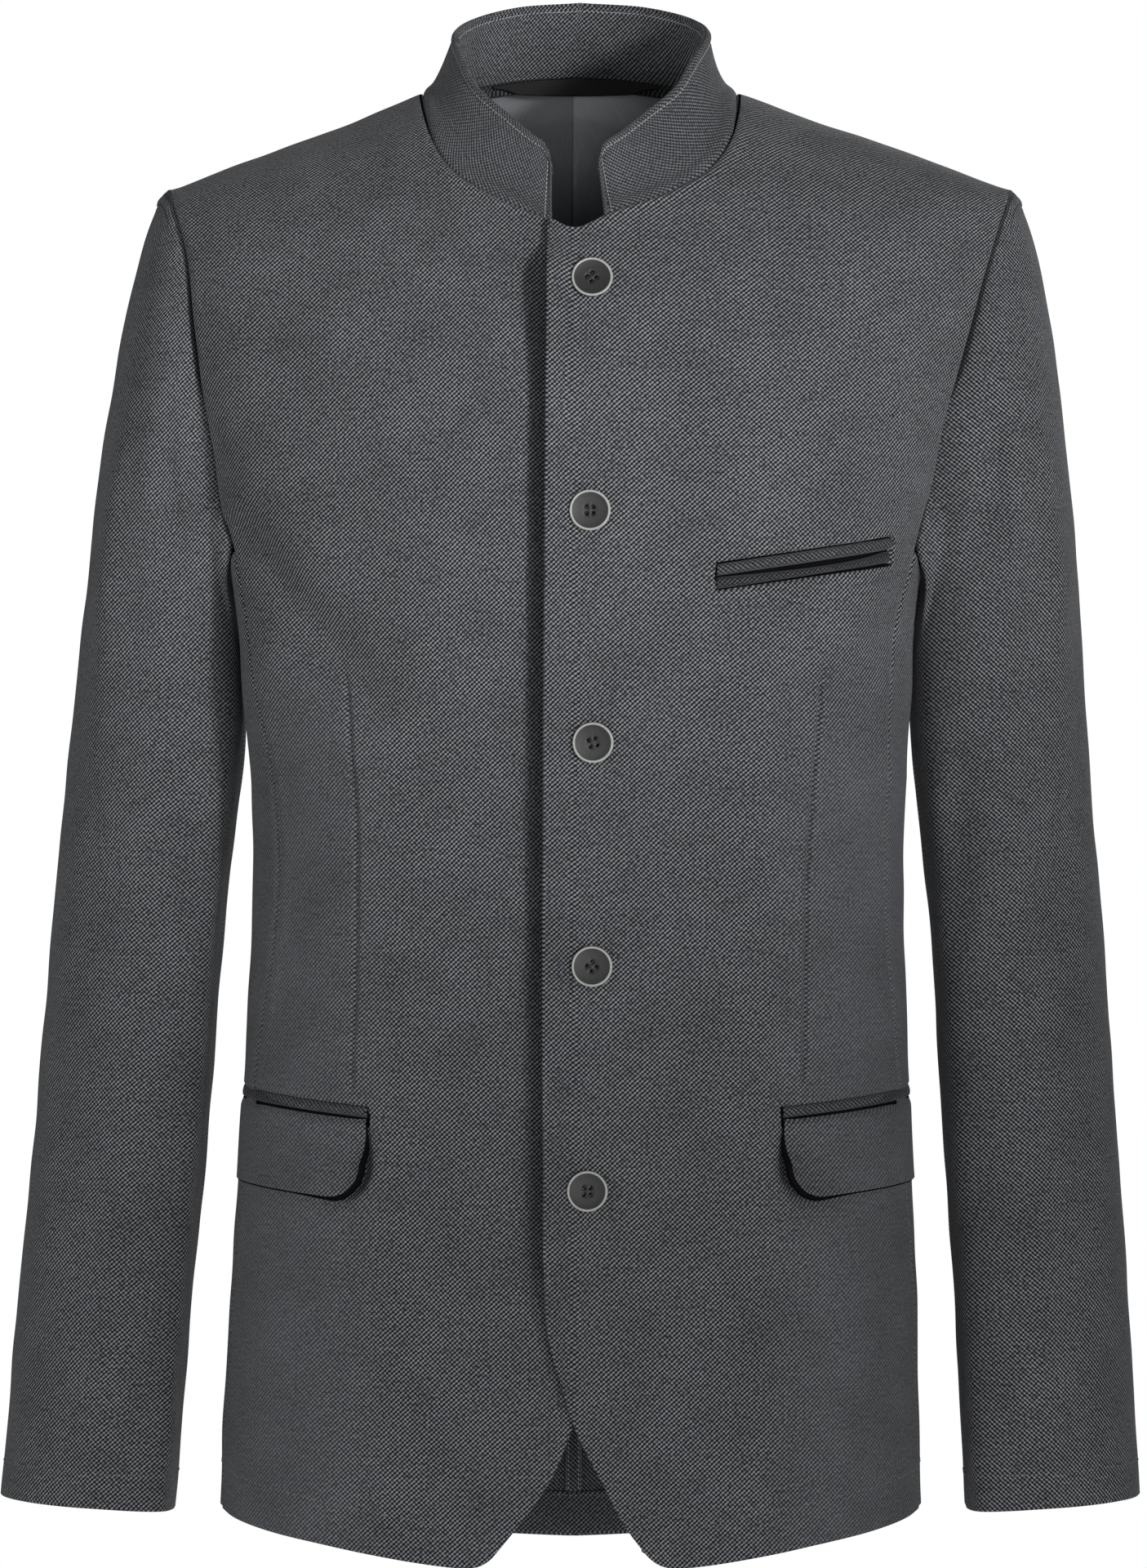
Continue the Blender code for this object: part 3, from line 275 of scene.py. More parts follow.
# Jets of the pockets
JET_SHARES = (0.0, 0.06, 0.16, 0.30, 0.50, 0.70, 0.84, 0.94, 1.0)
JET_WIDTH = 5.6
JET_LOW = -1.5
JET_SWELL = 2.3
JET_ROUND = 0.55
JET_FLUSH = -0.1
JET_FLUSH_SHARES = (0.70, 0.92)
JET_SHADE_SHARES = (0.22, 0.62)
JET_ROLL = 2.4
JET_ROLL_BEND = 7.0

# Chest pocket, with each jet's way from the slit, share of the sag, and height at the slit and at the seam
CHEST_START = (69.4, -247.2)
CHEST_END = (156.0, -233.4)
CHEST_SLIT = 0.5
CHEST_SAG = 2.2
CHEST_SAG_PLACE = 1.5
CHEST_SAG_BEND = 0.7
CHEST_JETS = (("upper", 1.0, 0.1, 0.6, 0.1), ("lower", -1.0, 1.0, -0.8, -1.9))
CHEST_HOLLOW = 5.0
CHEST_HOLLOW_SPAN = (6.3, 7.6)
CHEST_ENDS = ((-0.02, 0.01), (0.99, 1.02))

# Buttons as places across, heights and turns; their profile as looks, radii and heights; their holes
BUTTONS = ((9.0, -100.6, 40.0), (8.0, -214.5, 0.0), (9.5, -328.5, 17.0), (9.0, -439.8, 38.0),
           (6.8, -550.3, 0.0))
BUTTON_PROFILE = (
    (0, 4.3, 2.25), (0, 4.9, 2.34), (0, 8.6, 2.40), (1, 8.9, 2.55), (1, 9.2, 2.80), (1, 9.55, 2.90),
    (1, 9.85, 2.75), (0, 10.05, 2.40), (0, 10.1, 1.90), (0, 9.6, 0.90), (0, 8.0, 0.15), (0, 4.3, 0.0),
)
BUTTON_HOLE = ((0.14, 2.25), (0.04, 2.15), (0.0, 1.95), (0.0, 0.0))
BUTTON_HOLE_OUT = 2.3
BUTTON_HOLE_RADIUS = 1.05
BUTTON_STEPS = 64
HOLE_STEPS = 20

# Lining of the back, which hangs below the neck, and the pleat in its left half
LINING_BOTTOM = -300.0
LINING_GAP = 0.8
LINING_SKIP = 3
PLEAT_HEIGHTS = (4.5, 0.0)
PLEAT_REACH = 7.0
PLEAT_SPAN = (-40.0, -10.0)
MIDDLE_TURN = 179.9
LINING_HANG = 8.0
LINING_HANG_TOP = 13.0
LINING_HANG_FULL = 2.0
LINING_HANG_SPAN = (-85.0, -25.0)

# Tape below the collar
TAPE_HALF = 46.0
TAPE_FLAT = 31.0
TAPE_RISE = 4.5
TAPE_FOOT = 5.5
TAPE_END = 1.0
TAPE_GAP = 0.3

# Hem of the back turned up, and the strip up its middle
TURN_UP = 22.0
TURN_UP_START = 1.0
TURN_UP_FOOT = 1.0
STRIP_HALF = 3.6
STRIP_TOP = -306.0
STRIP_SHARES = (-1.0, -0.85, -0.5, 0.0, 0.5, 0.85, 1.0)
STRIP_STITCH_PLACE = 0.7

# The stance: the shoulders lie a little to the wearer's left
STANCE_COLUMNS = ("z", "shift")
STANCE = (
    (-760.0, -2.0), (-657.0, -0.9), (-573.0, 0.5), (-449.0, 1.8), (-366.0, 2.3), (-324.0, 2.9),
    (-241.0, 4.8), (-184.0, 5.6), (-55.0, 8.2), (-30.0, 8.2), (0.0, 6.0), (60.0, 6.0),
)
STANCE_REACH = 90.0

# The armholes' own shifts across, by height, round the lines of their seams
ARM_SHIFTS = {
    1: ((-330.0, 0.0), (-280.0, -0.6), (-232.0, -1.6), (-212.0, -2.9), (-182.0, -3.7), (-130.0, -0.8),
        (-90.0, 1.0), (-60.0, 0.0)),
    -1: ((-350.0, 0.0), (-300.0, -2.0), (-255.0, -4.4), (-228.0, -6.6), (-184.0, -5.8), (-134.0, -5.6),
         (-112.0, -4.6), (-84.0, -1.6), (-60.0, 0.0)),
}
ARM_LOW_X = 164.0
ARM_LOW_Z = -300.0
ARM_LEAN = 0.135
ARM_REACH = 28.0

# Steps of the shells, with finer ones beside their edges
EDGE_STEPS = (0.0, 0.5, 1.2, 2.1, 3.2, 4.6, 6.4)
COLUMN_STEP = 1.7
ROW_STEP = 3.4
BACK_COLUMN_STEP = 2.8
BACK_ROW_STEP = 4.0
SLEEVE_COLUMN_STEP = 2.7
SLEEVE_ROW_STEP = 4.0

# Sizes of the pieces along their cloth, for their steps, and where the neck starts as shares of the armhole
FRONT_WIDTH = 200.0
SIDE_WIDTH = 95.0
BACK_WIDTH = 175.0
LOW_HEIGHT = 490.0
EDGE_UP_HEIGHT = 155.0
NECK_LENGTH = 130.0
BACK_UP_HEIGHT = 220.0
BACK_NECK_LENGTH = 90.0
HEAD_LENGTH = 190.0
TUBE_LENGTH = 426.0
COLLAR_LENGTH = 215.0
COLLAR_HEIGHT = 46.0
NECK_SHARE = 6.0 / 13.0
BACK_NECK_SHARE = 8.0 / 13.0

# Sewn edges roll under, and the cloth swells a little beside them
SEAM_DIP = 1.0
SEAM_DIP_REACH = 1.1
SEAM_SWELL = 0.35
SEAM_SWELL_PLACE = 5.0
SEAM_SWELL_REACH = 3.0
NECK_DIP = 2.8
NECK_DIP_ROWS = (-1.0, 3.0)
NECK_DIP_FADE = (-35.0, 6.0)
# Cells along the fronts' neck seam that get painted shade, from these places across and this many cells wide
NECK_SHADE_START = {"left": 15.5, "right": 11.0}
NECK_SHADE_CELLS = 2

# Darts of the two fronts, as heights and places across as seen from the front
DART_COLUMNS = ("z", "x")
DARTS = {
    1: ((-282.0, 124.9), (-348.0, 118.9), (-388.0, 116.4), (-460.0, 114.8), (-497.0, 114.0)),
    -1: ((-281.0, -120.9), (-303.0, -114.4), (-348.0, -108.8), (-428.0, -107.9), (-499.0, -110.0)),
}
DART_DEPTH = 2.2
DART_WIDTH = 1.2
DART_SWELL = 0.9
DART_SWELL_WIDTH = 8.0
DART_FOOT = (-3.0, 4.0)
DART_FADE = 30.0
DART_FINE = (0.53, 0.64)
DART_STEP = 0.0035

# Stretches of the fronts, as shares of their heights, with finer rows for the pockets
HIP_FINE = (0.44, 0.476)
CHEST_FINE_LOW = (0.93, 1.0)
CHEST_FINE_HIGH = (0.0, 0.14)
POCKET_STEP = 1.1
POCKET_ROW_REACH = 60.0
CHEST_ROW_START = (15.0, 45.0)
CHEST_ROW_END = (158.0, 170.0)

# Creases as soft troughs and ridges: a place and the place it runs to, as seen from the front or the back,
# its bow, width and height; on the sleeves x is the distance round from the outermost line to the front
FOLDS = {
    "front": (
        (-172, -212, -90, -316, 6, 14, -5.6), (-150, -290, -138, -520, 0, 24, -3),
        (-150, -196, -88, -276, 4, 16, 1.5), (58, -268, 12, -330, -3, 10, 2.2),
        (84, -290, 24, -338, 4, 12, -1), (168, -246, 128, -312, -5, 12, -1.7),
        (176, -205, 172, -345, 0, 22, -4), (96, -262, 104, -400, 4, 14, 1.6),
        (36, -350, -6, -368, 0, 9, -1.5), (105, -438, 78, -526, 0, 7, 1.5),
        (96, -528, 36, -564, 0, 17, -2.6), (98, -432, 22, -446, 3, 8, 0.7),
        (92, -448, 16, -470, 3, 10, -0.9), (-98, -438, -26, -458, -3, 10, -0.7),
        (-112, -560, -44, -640, 5, 14, -1.6), (-132, -592, -74, -682, 5, 15, -1.2),
        (-150, -572, -138, -712, 2, 13, 1), (106, -560, 40, -616, -5, 14, -1.5),
        (124, -600, 62, -668, -4, 15, -1.2), (146, -570, 136, -712, -2, 13, 1),
        (60, -640, 44, -726, 3, 14, 0.8),
    ),
    "back": (
        (-150, -205, -70, -300, 6, 15, -2), (-128, -190, -56, -270, 4, 16, 1.3),
        (152, -210, 66, -292, -6, 14, -1.9), (130, -188, 50, -262, -4, 16, 1.2),
        (-120, -372, 6, -396, -5, 11, -1.6), (-70, -404, 112, -384, 6, 12, -1.5),
        (-104, -420, 40, -434, -4, 13, 1.1), (96, -430, 10, -470, 4, 12, -1.1),
        (-100, -560, -84, -730, 5, 16, -1.4), (92, -540, 108, -730, -5, 17, -1.3),
    ),
    "sleeve_right": (
        (30, -150, 62, -330, 4, 14, 1.3), (20, -330, 92, -412, 5, 12, -1.6),
        (96, -300, 118, -430, 3, 11, -1.5), (84, -420, 100, -640, 4, 13, 1.1),
        (30, -470, 70, -560, 4, 12, -1), (44, -590, 34, -705, 3, 13, -0.9),
        (-40, -300, -92, -380, 5, 13, -1.5), (-84, -420, -30, -470, 4, 11, -1.3),
        (-60, -540, -74, -690, 3, 14, -1.1), (74, -150, 92, -245, 0, 9, -2.3),
        (42, -140, 50, -330, 2, 9, 1.2),
    ),
    "sleeve_left": (
        (76, -150, 92, -240, 0, 9, -2.3), (46, -140, 52, -330, 2, 9, 1.2),
        (28, -160, 58, -340, 4, 14, 1.2), (24, -345, 94, -428, 5, 12, -1.5),
        (98, -310, 120, -440, 3, 11, -1.6), (86, -440, 98, -650, 4, 13, 1),
        (34, -490, 72, -575, 4, 12, -0.9), (40, -600, 36, -705, 3, 13, -0.9),
        (-42, -310, -90, -395, 5, 13, -1.5), (-80, -430, -28, -485, 4, 11, -1.2),
        (-58, -550, -76, -695, 3, 14, -1.1),
    ),
}
FOLD_TAPER = 0.8
FOLD_UNEVEN = 0.3
FOLD_TURN = 5.1
FOLD_PHASE = 0.13
FOLD_WIDTHS = (0.8, 0.5)
FOLD_FULLNESS = {"front": 1.5, "back": 1.3, "sleeve_left": 1.8, "sleeve_right": 1.8}
FRONT_CREASES = (-0.1, 0.3)

# Slow waves all over the cloth, as lengths across and down and heights
WAVES = ((83.0, 61.0, 0.28), (47.0, 118.0, 0.22), (31.0, 39.0, 0.10))
WAVE_SWAY = 0.3
WAVE_PHASES = (1.7, 0.9)

# Stitches as lengths, gaps and radii, with their form and their places
TOP_STITCH = (1.7, 0.6, 0.27)
PICK_STITCH = (1.6, 2.2, 0.25)
SEAM_STITCH = (0.9, 1.9, 0.20)
OVERLOCK_STITCH = (2.2, 0.2, 0.13)
OVERLOCK_LEAN = 40.0
STITCH_SIDES = 6
STITCH_SHOULDER = 0.3
STITCH_RISE = 0.5
TOP_STITCH_INSET = 4.0
HEM_STITCH_RISE = 21.0
HEM_STITCH_START = 62.0
CUFF_STITCH_RISE = 17.0
SIDE_STITCH_TOP = -250.0
SIDE_STITCH_INSET = 2.2
TURN_UP_STITCH_INSET = 1.6

# Grid of turns and levels on which the distances along the body's cloth are read
MAP_START = -30.0
MAP_SIZE = (141, 181)
MAP_EDGE = 1.001

# Weave of the knit: two waves that cross, as the angle of their crests, their spacing and their strength
KNIT_WAVES = ((43.0, 1.70, 0.62), (-45.0, 1.66, 0.38))
KNIT_WOBBLE = 0.0005
KNIT_UNEVEN = 0.7
KNIT_FINISH = {"Roughness": 0.9, "Specular IOR Level": 0.2, "Sheen Weight": 0.1, "Sheen Roughness": 0.5}

# Unevenness of the knit, as scales and details of noise, and the ranges read from it
WOBBLE_NOISE = (170.0, 1.0)
YARN_NOISE = (620.0, 2.0)
PATCH_NOISES = ((300.0, 1.0), (75.0, 2.0))
PATCH_RANGE = (0.7, 1.3)
KNIT_PATCH = (0.55, 1.35)
KNIT_STREAK = (70.0, 900.0, 1.0)
STREAK_NOISE = (1.0, 2.0)
TONE_NOISE = (26.0, 3.0)
TONE_RANGE = (0.6, 1.4)
KNIT_TONE = (0.78, 1.22)

# Where the knit is calmer: distances across the cloth, and heights along it where that ends
KNIT_CALM = 0.65
BODY_CALM = (90.0, 150.0)
BODY_CALM_TOP = (400.0, 490.0)
SLEEVE_CALM = (45.0, 10.0)
SLEEVE_CALM_TOP = (650.0, 750.0)

# Colours of the materials, as places on a ramp from the low to the high parts of the surface
KNIT_STOPS = ((0.22, (0.008, 0.0083, 0.0092)), (0.50, (0.050, 0.0522, 0.0572)), (0.82, (0.290, 0.300, 0.320)))
COLLAR_STOPS = ((0.18, (0.022, 0.023, 0.0255)), (0.50, (0.064, 0.067, 0.073)), (0.88, (0.215, 0.223, 0.240)))
# The jet colours are darker copies of the knit's, for painted shade
SHADED_JET_STOPS = ((0.18, (0.014, 0.0146, 0.0162)), (0.50, (0.044, 0.046, 0.0502)), (0.88, (0.150, 0.156, 0.168)))
DEEP_SHADE_STOPS = ((0.18, (0.008, 0.0083, 0.0092)), (0.50, (0.026, 0.0272, 0.0296)),
                  (0.88, (0.105, 0.109, 0.118)))
INSIDE_STOPS = ((0.22, (0.008, 0.0083, 0.0090)), (0.50, (0.045, 0.047, 0.0495)),
                (0.82, (0.20, 0.207, 0.2175)))
KNIT_PLAIN = ((0.3, (0.078, 0.0812, 0.0885)), (0.7, (0.112, 0.1165, 0.1265)))
LINING_STOPS = ((0.3, (0.165, 0.172, 0.183)), (0.7, (0.200, 0.208, 0.220)))
TAPE_STOPS = ((0.2, (0.008, 0.008, 0.009)), (0.8, (0.018, 0.0175, 0.0185)))
# The dark pocket cloth, used for the pockets' insides and as painted shade in grooves, under the flap corners
# and along the neck seam
POCKETING_AND_SHADE_STOPS = ((0.3, (0.0050, 0.0050, 0.0055)), (0.7, (0.0085, 0.0085, 0.0090)))
THREAD_STOPS = ((0.3, (0.17, 0.175, 0.185)), (0.7, (0.27, 0.275, 0.29)))
TOP_THREAD_STOPS = ((0.3, (0.34, 0.345, 0.355)), (0.7, (0.46, 0.465, 0.475)))
BUTTON_STOPS = ((0.3, (0.024, 0.0243, 0.0255)), (0.7, (0.031, 0.0314, 0.0325)))
RIM_STOPS = ((0.3, (0.42, 0.42, 0.405)), (0.7, (0.50, 0.50, 0.48)))
FLOOR_STOPS = ((0.3, (0.74, 0.74, 0.74)), (0.7, (0.78, 0.78, 0.78)))

# Knits by name, with their colours and where they are calmer
KNITS = (
    ("body_knit", KNIT_STOPS, BODY_CALM, BODY_CALM_TOP),
    ("sleeve_knit", KNIT_STOPS, SLEEVE_CALM, SLEEVE_CALM_TOP),
    ("plain_knit", KNIT_STOPS), ("inside_knit", INSIDE_STOPS), ("collar_knit", COLLAR_STOPS),
    # The two jet knits are shaded copies of the knit, painted shade for the jets, the seams and the grooves
    ("jet_knit", SHADED_JET_STOPS), ("dark_jet_knit", DEEP_SHADE_STOPS),
)

# Satin lining with painted light, paler from the lower to the upper of two heights, by shares for its left
# and right halves, the left half painted paler
LINING_FINISH = {"Roughness": 0.42, "Specular IOR Level": 0.45}
LINING_STREAK = (900.0, 60.0, 1.0)
LINING_PAINTED_LIGHT_SPAN = (-60.0, 5.0)
LINING_PAINTED_SHADE_LOW = 0.7
LINING_PAINTED_LIGHT_TOPS = (4.4, 2.5)

# Tape, specks and floor
TAPE_FINISH = {"Roughness": 0.75, "Specular IOR Level": 0.3}
TAPE_RIBS = {"Scale": 320.0, "Distortion": 0.4}
SPECK_DETAIL = 3.0
SPECKLED = (
    ("pocketing_and_shade", POCKETING_AND_SHADE_STOPS, 900.0, {"Roughness": 0.95, "Specular IOR Level": 0.0}),
    ("thread", THREAD_STOPS, 900.0, {"Roughness": 0.8}),
    ("top_thread", TOP_THREAD_STOPS, 900.0, {"Roughness": 0.8}),
    ("button_face", BUTTON_STOPS, 700.0, {"Roughness": 0.5}),
    ("button_rim", RIM_STOPS, 500.0, {"Roughness": 0.35}),
)
FLOOR_FINISH = {"Roughness": 0.8}
FLOOR_NOISE = (3.0, 4.0)

# Relief of the materials, as strengths and distances in metres
KNIT_RELIEF = (0.35, 0.0004)
LINING_RELIEF = (0.15, 0.0002)
TAPE_RELIEF = (0.4, 0.0002)
SPECK_RELIEF = (0.1, 0.0002)

# Camera and stage
PHOTO_HEIGHT = 1920
PIXEL = 0.415
CAMERA_DISTANCE = 4000.0
CAMERA_HEIGHT = -349.4
CAMERA_REACH = 100.0
SENSOR = 36.0
FLOOR = -1450.0
FLOOR_HALF = 3000.0

# Lights as names, places, the places they face, sizes, the angles of their beams (0 for all round) and powers
LIGHTS = (
    ("key", (1.8, -2.5, 0.1), (0.0, -0.1, -0.05), 0.7, 10.0, 615.0),
    ("front", (0.3, -3.3, -0.35), (0.0, 0.0, -0.40), 1.0, 0.0, 12.5),
    ("left", (-2.4, -1.7, -0.3), (0.0, 0.0, -0.45), 1.6, 0.0, 17.0),
    ("right_low", (1.4, -2.6, -1.0), (0.0, 0.0, -0.75), 1.6, 0.0, 24.0),
    ("back", (0.4, 3.0, 0.8), (0.0, 0.0, -0.30), 2.2, 0.0, 25.0),
)
SURROUND_LIGHT = 0.16


# Curves, steps, directions and rows of grids


def smooth(keys, values, at):
    """A smooth curve through the values at rising keys, read at any places between them."""
    slopes = np.gradient(values, keys, axis=0)
    at = np.clip(at, keys[0], keys[-1])
    cell = np.clip(np.searchsorted(keys, at, side="right") - 1, 0, len(keys) - 2)
    step = keys[cell + 1] - keys[cell]
    t = (at - keys[cell]) / step
    low = values[cell] * (1 + 2 * t) * (1 - t) ** 2 + slopes[cell] * step * t * (1 - t) ** 2
    high = values[cell + 1] * t * t * (3 - 2 * t) + slopes[cell + 1] * step * t * t * (t - 1)
    return low + high


def ramp(value, start, end):
    """A soft step from 0 at start to 1 at end."""
    t = np.clip((value - start) / (end - start), 0.0, 1.0)
    return t * t * (3 - 2 * t)


def hump(value, width, place=0.0):
    """A soft hump of height 1 about a place."""
    return np.exp(-((value - place) / width) ** 2)


def unit(vectors):
    return vectors / np.linalg.norm(vectors, axis=-1, keepdims=True)


def curve(table, names, name, at):
    """A named column of a table as a smooth curve over its first column, read at any places."""
    rows = np.array(sorted(table), float)
    return smooth(rows[:, 0], rows[:, names.index(name)], at)


def read_line(values, run, places):
    """Values along a line, read at distances along it."""
    return np.stack([np.interp(places, run, part) for part in values.T], axis=-1)


def across(left, right, shares):
    """Rows of values running evenly from each left value to its right value."""
    return left[:, None] + (right - left)[:, None] * shares[None, :]


def steps_along(length, step, fine_start=True, fine_end=True):
    """Shares of a length at even steps, with finer ones beside the edges that are rounded."""
    start = np.array(EDGE_STEPS if fine_start else EDGE_STEPS[:1])
    end = length - np.array(EDGE_STEPS if fine_end else EDGE_STEPS[:1])[::-1]
    count = max(2, round((end[0] - start[-1]) / step))
    between = np.linspace(start[-1], end[0], count + 1)[1:-1]
    return np.concatenate([start, between, end]) / length


def finer(shares, start, end, step):
    """Shares with finer even steps between two of them."""
    between = np.linspace(start, end, round((end - start) / step) + 1)
    return np.concatenate([shares[shares < start - step / 2], between, shares[shares > end + step / 2]])


def run_along(points, axis):
    """Distances along the lines of a grid, from their starts."""
    steps = np.linalg.norm(np.diff(points, axis=axis), axis=-1)
    first = np.zeros_like(np.take(steps, [0], axis=axis))
    return np.concatenate([first, np.cumsum(steps, axis=axis)], axis=axis)


def follow(level, line, held=1.0):
    """Levels of a grid whose rows near a line are moved to run along it, where they are held."""
    above = (level - line).mean(axis=1, keepdims=True)
    return level + (line + above - level) * (1 - ramp(np.abs(above), 0.0, POCKET_ROW_REACH)) * held


# The body's surface, and the lines of its seams and edges


BODY_ROWS = np.array(BODY, float)
BODY_KEYS = np.sqrt(RIDGE_TOP - BODY_ROWS[:, 0])


def body(name, level):
    """One column of the body's sections, read at any level."""
    climb = np.sqrt(np.maximum(RIDGE_TOP - level, 0.0))
    return smooth(BODY_KEYS, BODY_ROWS[:, BODY_COLUMNS.index(name)], climb)


def shoulder_drop(x):
    """How far the shoulder line lies below its middle, with the slight hollow beside the neck."""
    hollow = SHOULDER_HOLLOW * hump(np.abs(x), HOLLOW_REACH, HOLLOW_PLACE)
    return SHOULDER_SLOPE * (np.hypot(x, SHOULDER_SOFT) - SHOULDER_SOFT) + hollow


def ridge(x):
    return RIDGE_TOP - shoulder_drop(x)


def skin(turn, level):
    """Points of the body's surface: turn 0 is the front's middle, 90 the side and 180 the back's."""
    aside = np.sin(np.radians(turn))
    along = np.cos(np.radians(turn))
    is_front = along >= 0
    power = 2.0 / np.where(is_front, ROUNDS["front"], ROUNDS["back"])
    half = np.where(is_front, body("front_half", level), body("back_half", level))
    middle = body("middle", level)
    x = np.sign(aside) * half * np.abs(aside) ** power
    reach = np.abs(along) ** power
    front_y = middle - (body("front", level) + middle) * reach
    back_y = middle + (body("back", level) - middle) * reach
    drop = np.where(is_front, body("front_drop", level), body("back_drop", level))
    z = level - shoulder_drop(x) * drop
    return np.stack([x, np.where(is_front, front_y, back_y), z], axis=-1)


def skin_facing(turn, level):
    """Outward directions of the body, straight up or down at the shoulder seam."""
    turn_step, level_step = FACING_STEPS
    one = skin(turn + turn_step, level) - skin(turn - turn_step, level)
    two = skin(turn, level + level_step) - skin(turn, level - level_step)
    out = unit(np.cross(one, two))
    at_seam = level > RIDGE_TOP - SEAM_NEAR
    out[..., 1] = np.where(at_seam, 0.0, out[..., 1])
    return unit(out)


def level_at(x, z, drop_name):
    """The level at which the body passes through a given place across and height."""
    low = np.full(np.shape(z), BODY_FOOT)
    high = np.full(np.shape(z), RIDGE_TOP)
    for _ in range(LEVEL_HALVINGS):
        middle = (low + high) / 2
        above = middle - shoulder_drop(x) * body(drop_name, middle) > z
        high = np.where(above, middle, high)
        low = np.where(above, low, middle)
    return (low + high) / 2


def body_place(half, x, z):
    """Turn and level of places on the front or the back half, given as seen from the front."""
    x = np.asarray(x, float)
    level = level_at(x, np.asarray(z, float), half + "_drop")
    share = np.clip(np.abs(x) / body(half + "_half", level), 0.0, 1.0) ** (ROUNDS[half] / 2)
    turn = np.degrees(np.arcsin(share))
    turn = np.sign(x) * turn if half == "front" else 180.0 - turn
    return turn, level


def path(points, shares):
    """Places at given shares of the length of a smooth curve through points."""
    points = np.asarray(points, float)
    keys = run_along(points, 0)
    fine = np.linspace(0.0, keys[-1], PATH_STEPS)
    line = np.stack([smooth(keys, values, fine) for values in points.T], axis=-1)
    run = run_along(line, 0)
    return read_line(line, run, np.asarray(shares) * run[-1])


def hem(turn):
    return curve(HEM, HEM_COLUMNS, "z", turn)


def seam_turn(half, level):
    return curve(SEAMS, SEAM_COLUMNS, half, level)


def armhole_edge(half, shares):
    """Turn and level along the front or the back of the armhole, from the seam top to the shoulder tip."""
    rows = ARMHOLES[half] + ((SHOULDER_TIP, ridge(SHOULDER_TIP)),)
    turn, level = body_place(half, *np.array(rows).T)
    level[-1] = RIDGE_TOP
    foot = SEAM_TOPS[half]
    places = path(np.column_stack([np.append(seam_turn(half, foot), turn), np.append(foot, level)]), shares)
    return places[:, 0], places[:, 1]


def underarm(shares):
    """Turn and level along the top of the side panel, the lowest stretch of the armhole."""
    front, back = (seam_turn(half, SEAM_TOPS[half]) for half in ("front", "back"))
    level = SEAM_TOPS["front"] + (SEAM_TOPS["back"] - SEAM_TOPS["front"]) * shares
    return front + (back - front) * shares, level - UNDERARM_DIP * np.sin(np.pi * shares)


def neck_edge(half, shares, corner=None):
    """Turn and level along the neckline to the shoulder seam, from a front corner or the back's middle."""
    rows = (() if corner is None else (corner,)) + NECKS[half] + ((NECK_POINT, ridge(NECK_POINT)),)
    turn, level = body_place(half, *path(rows, shares).T)
    return turn, np.where(np.asarray(shares) > NECK_END, RIDGE_TOP, level)


# Grids of the body's panels


def pocket_top(turn):
    """How far along the top line of a hip pocket a turn lies, as a share, and the height of that line."""
    start, _ = body_place("front", FLAP_START, FLAP_TOP)
    share = (turn - start) / (FLAP_END_TURN - start)
    return share, FLAP_TOP + FLAP_TOP_RISE * np.sin(np.pi / 2 * np.clip(share, 0.0, 1.0))


def chest_slit(x):
    """How far along the chest pocket a place lies, as a share, and the height of its slit."""
    share = (x - CHEST_START[0]) / (CHEST_END[0] - CHEST_START[0])
    return share, CHEST_START[1] + (CHEST_END[1] - CHEST_START[1]) * share


def hem_shift(low, hem_level, level):
    """How far the rows of a grid move for its first row to lie on the hem, less and less further up."""
    return ((1 - low) ** 3)[:, None] * (hem_level - level[0])[None, :]


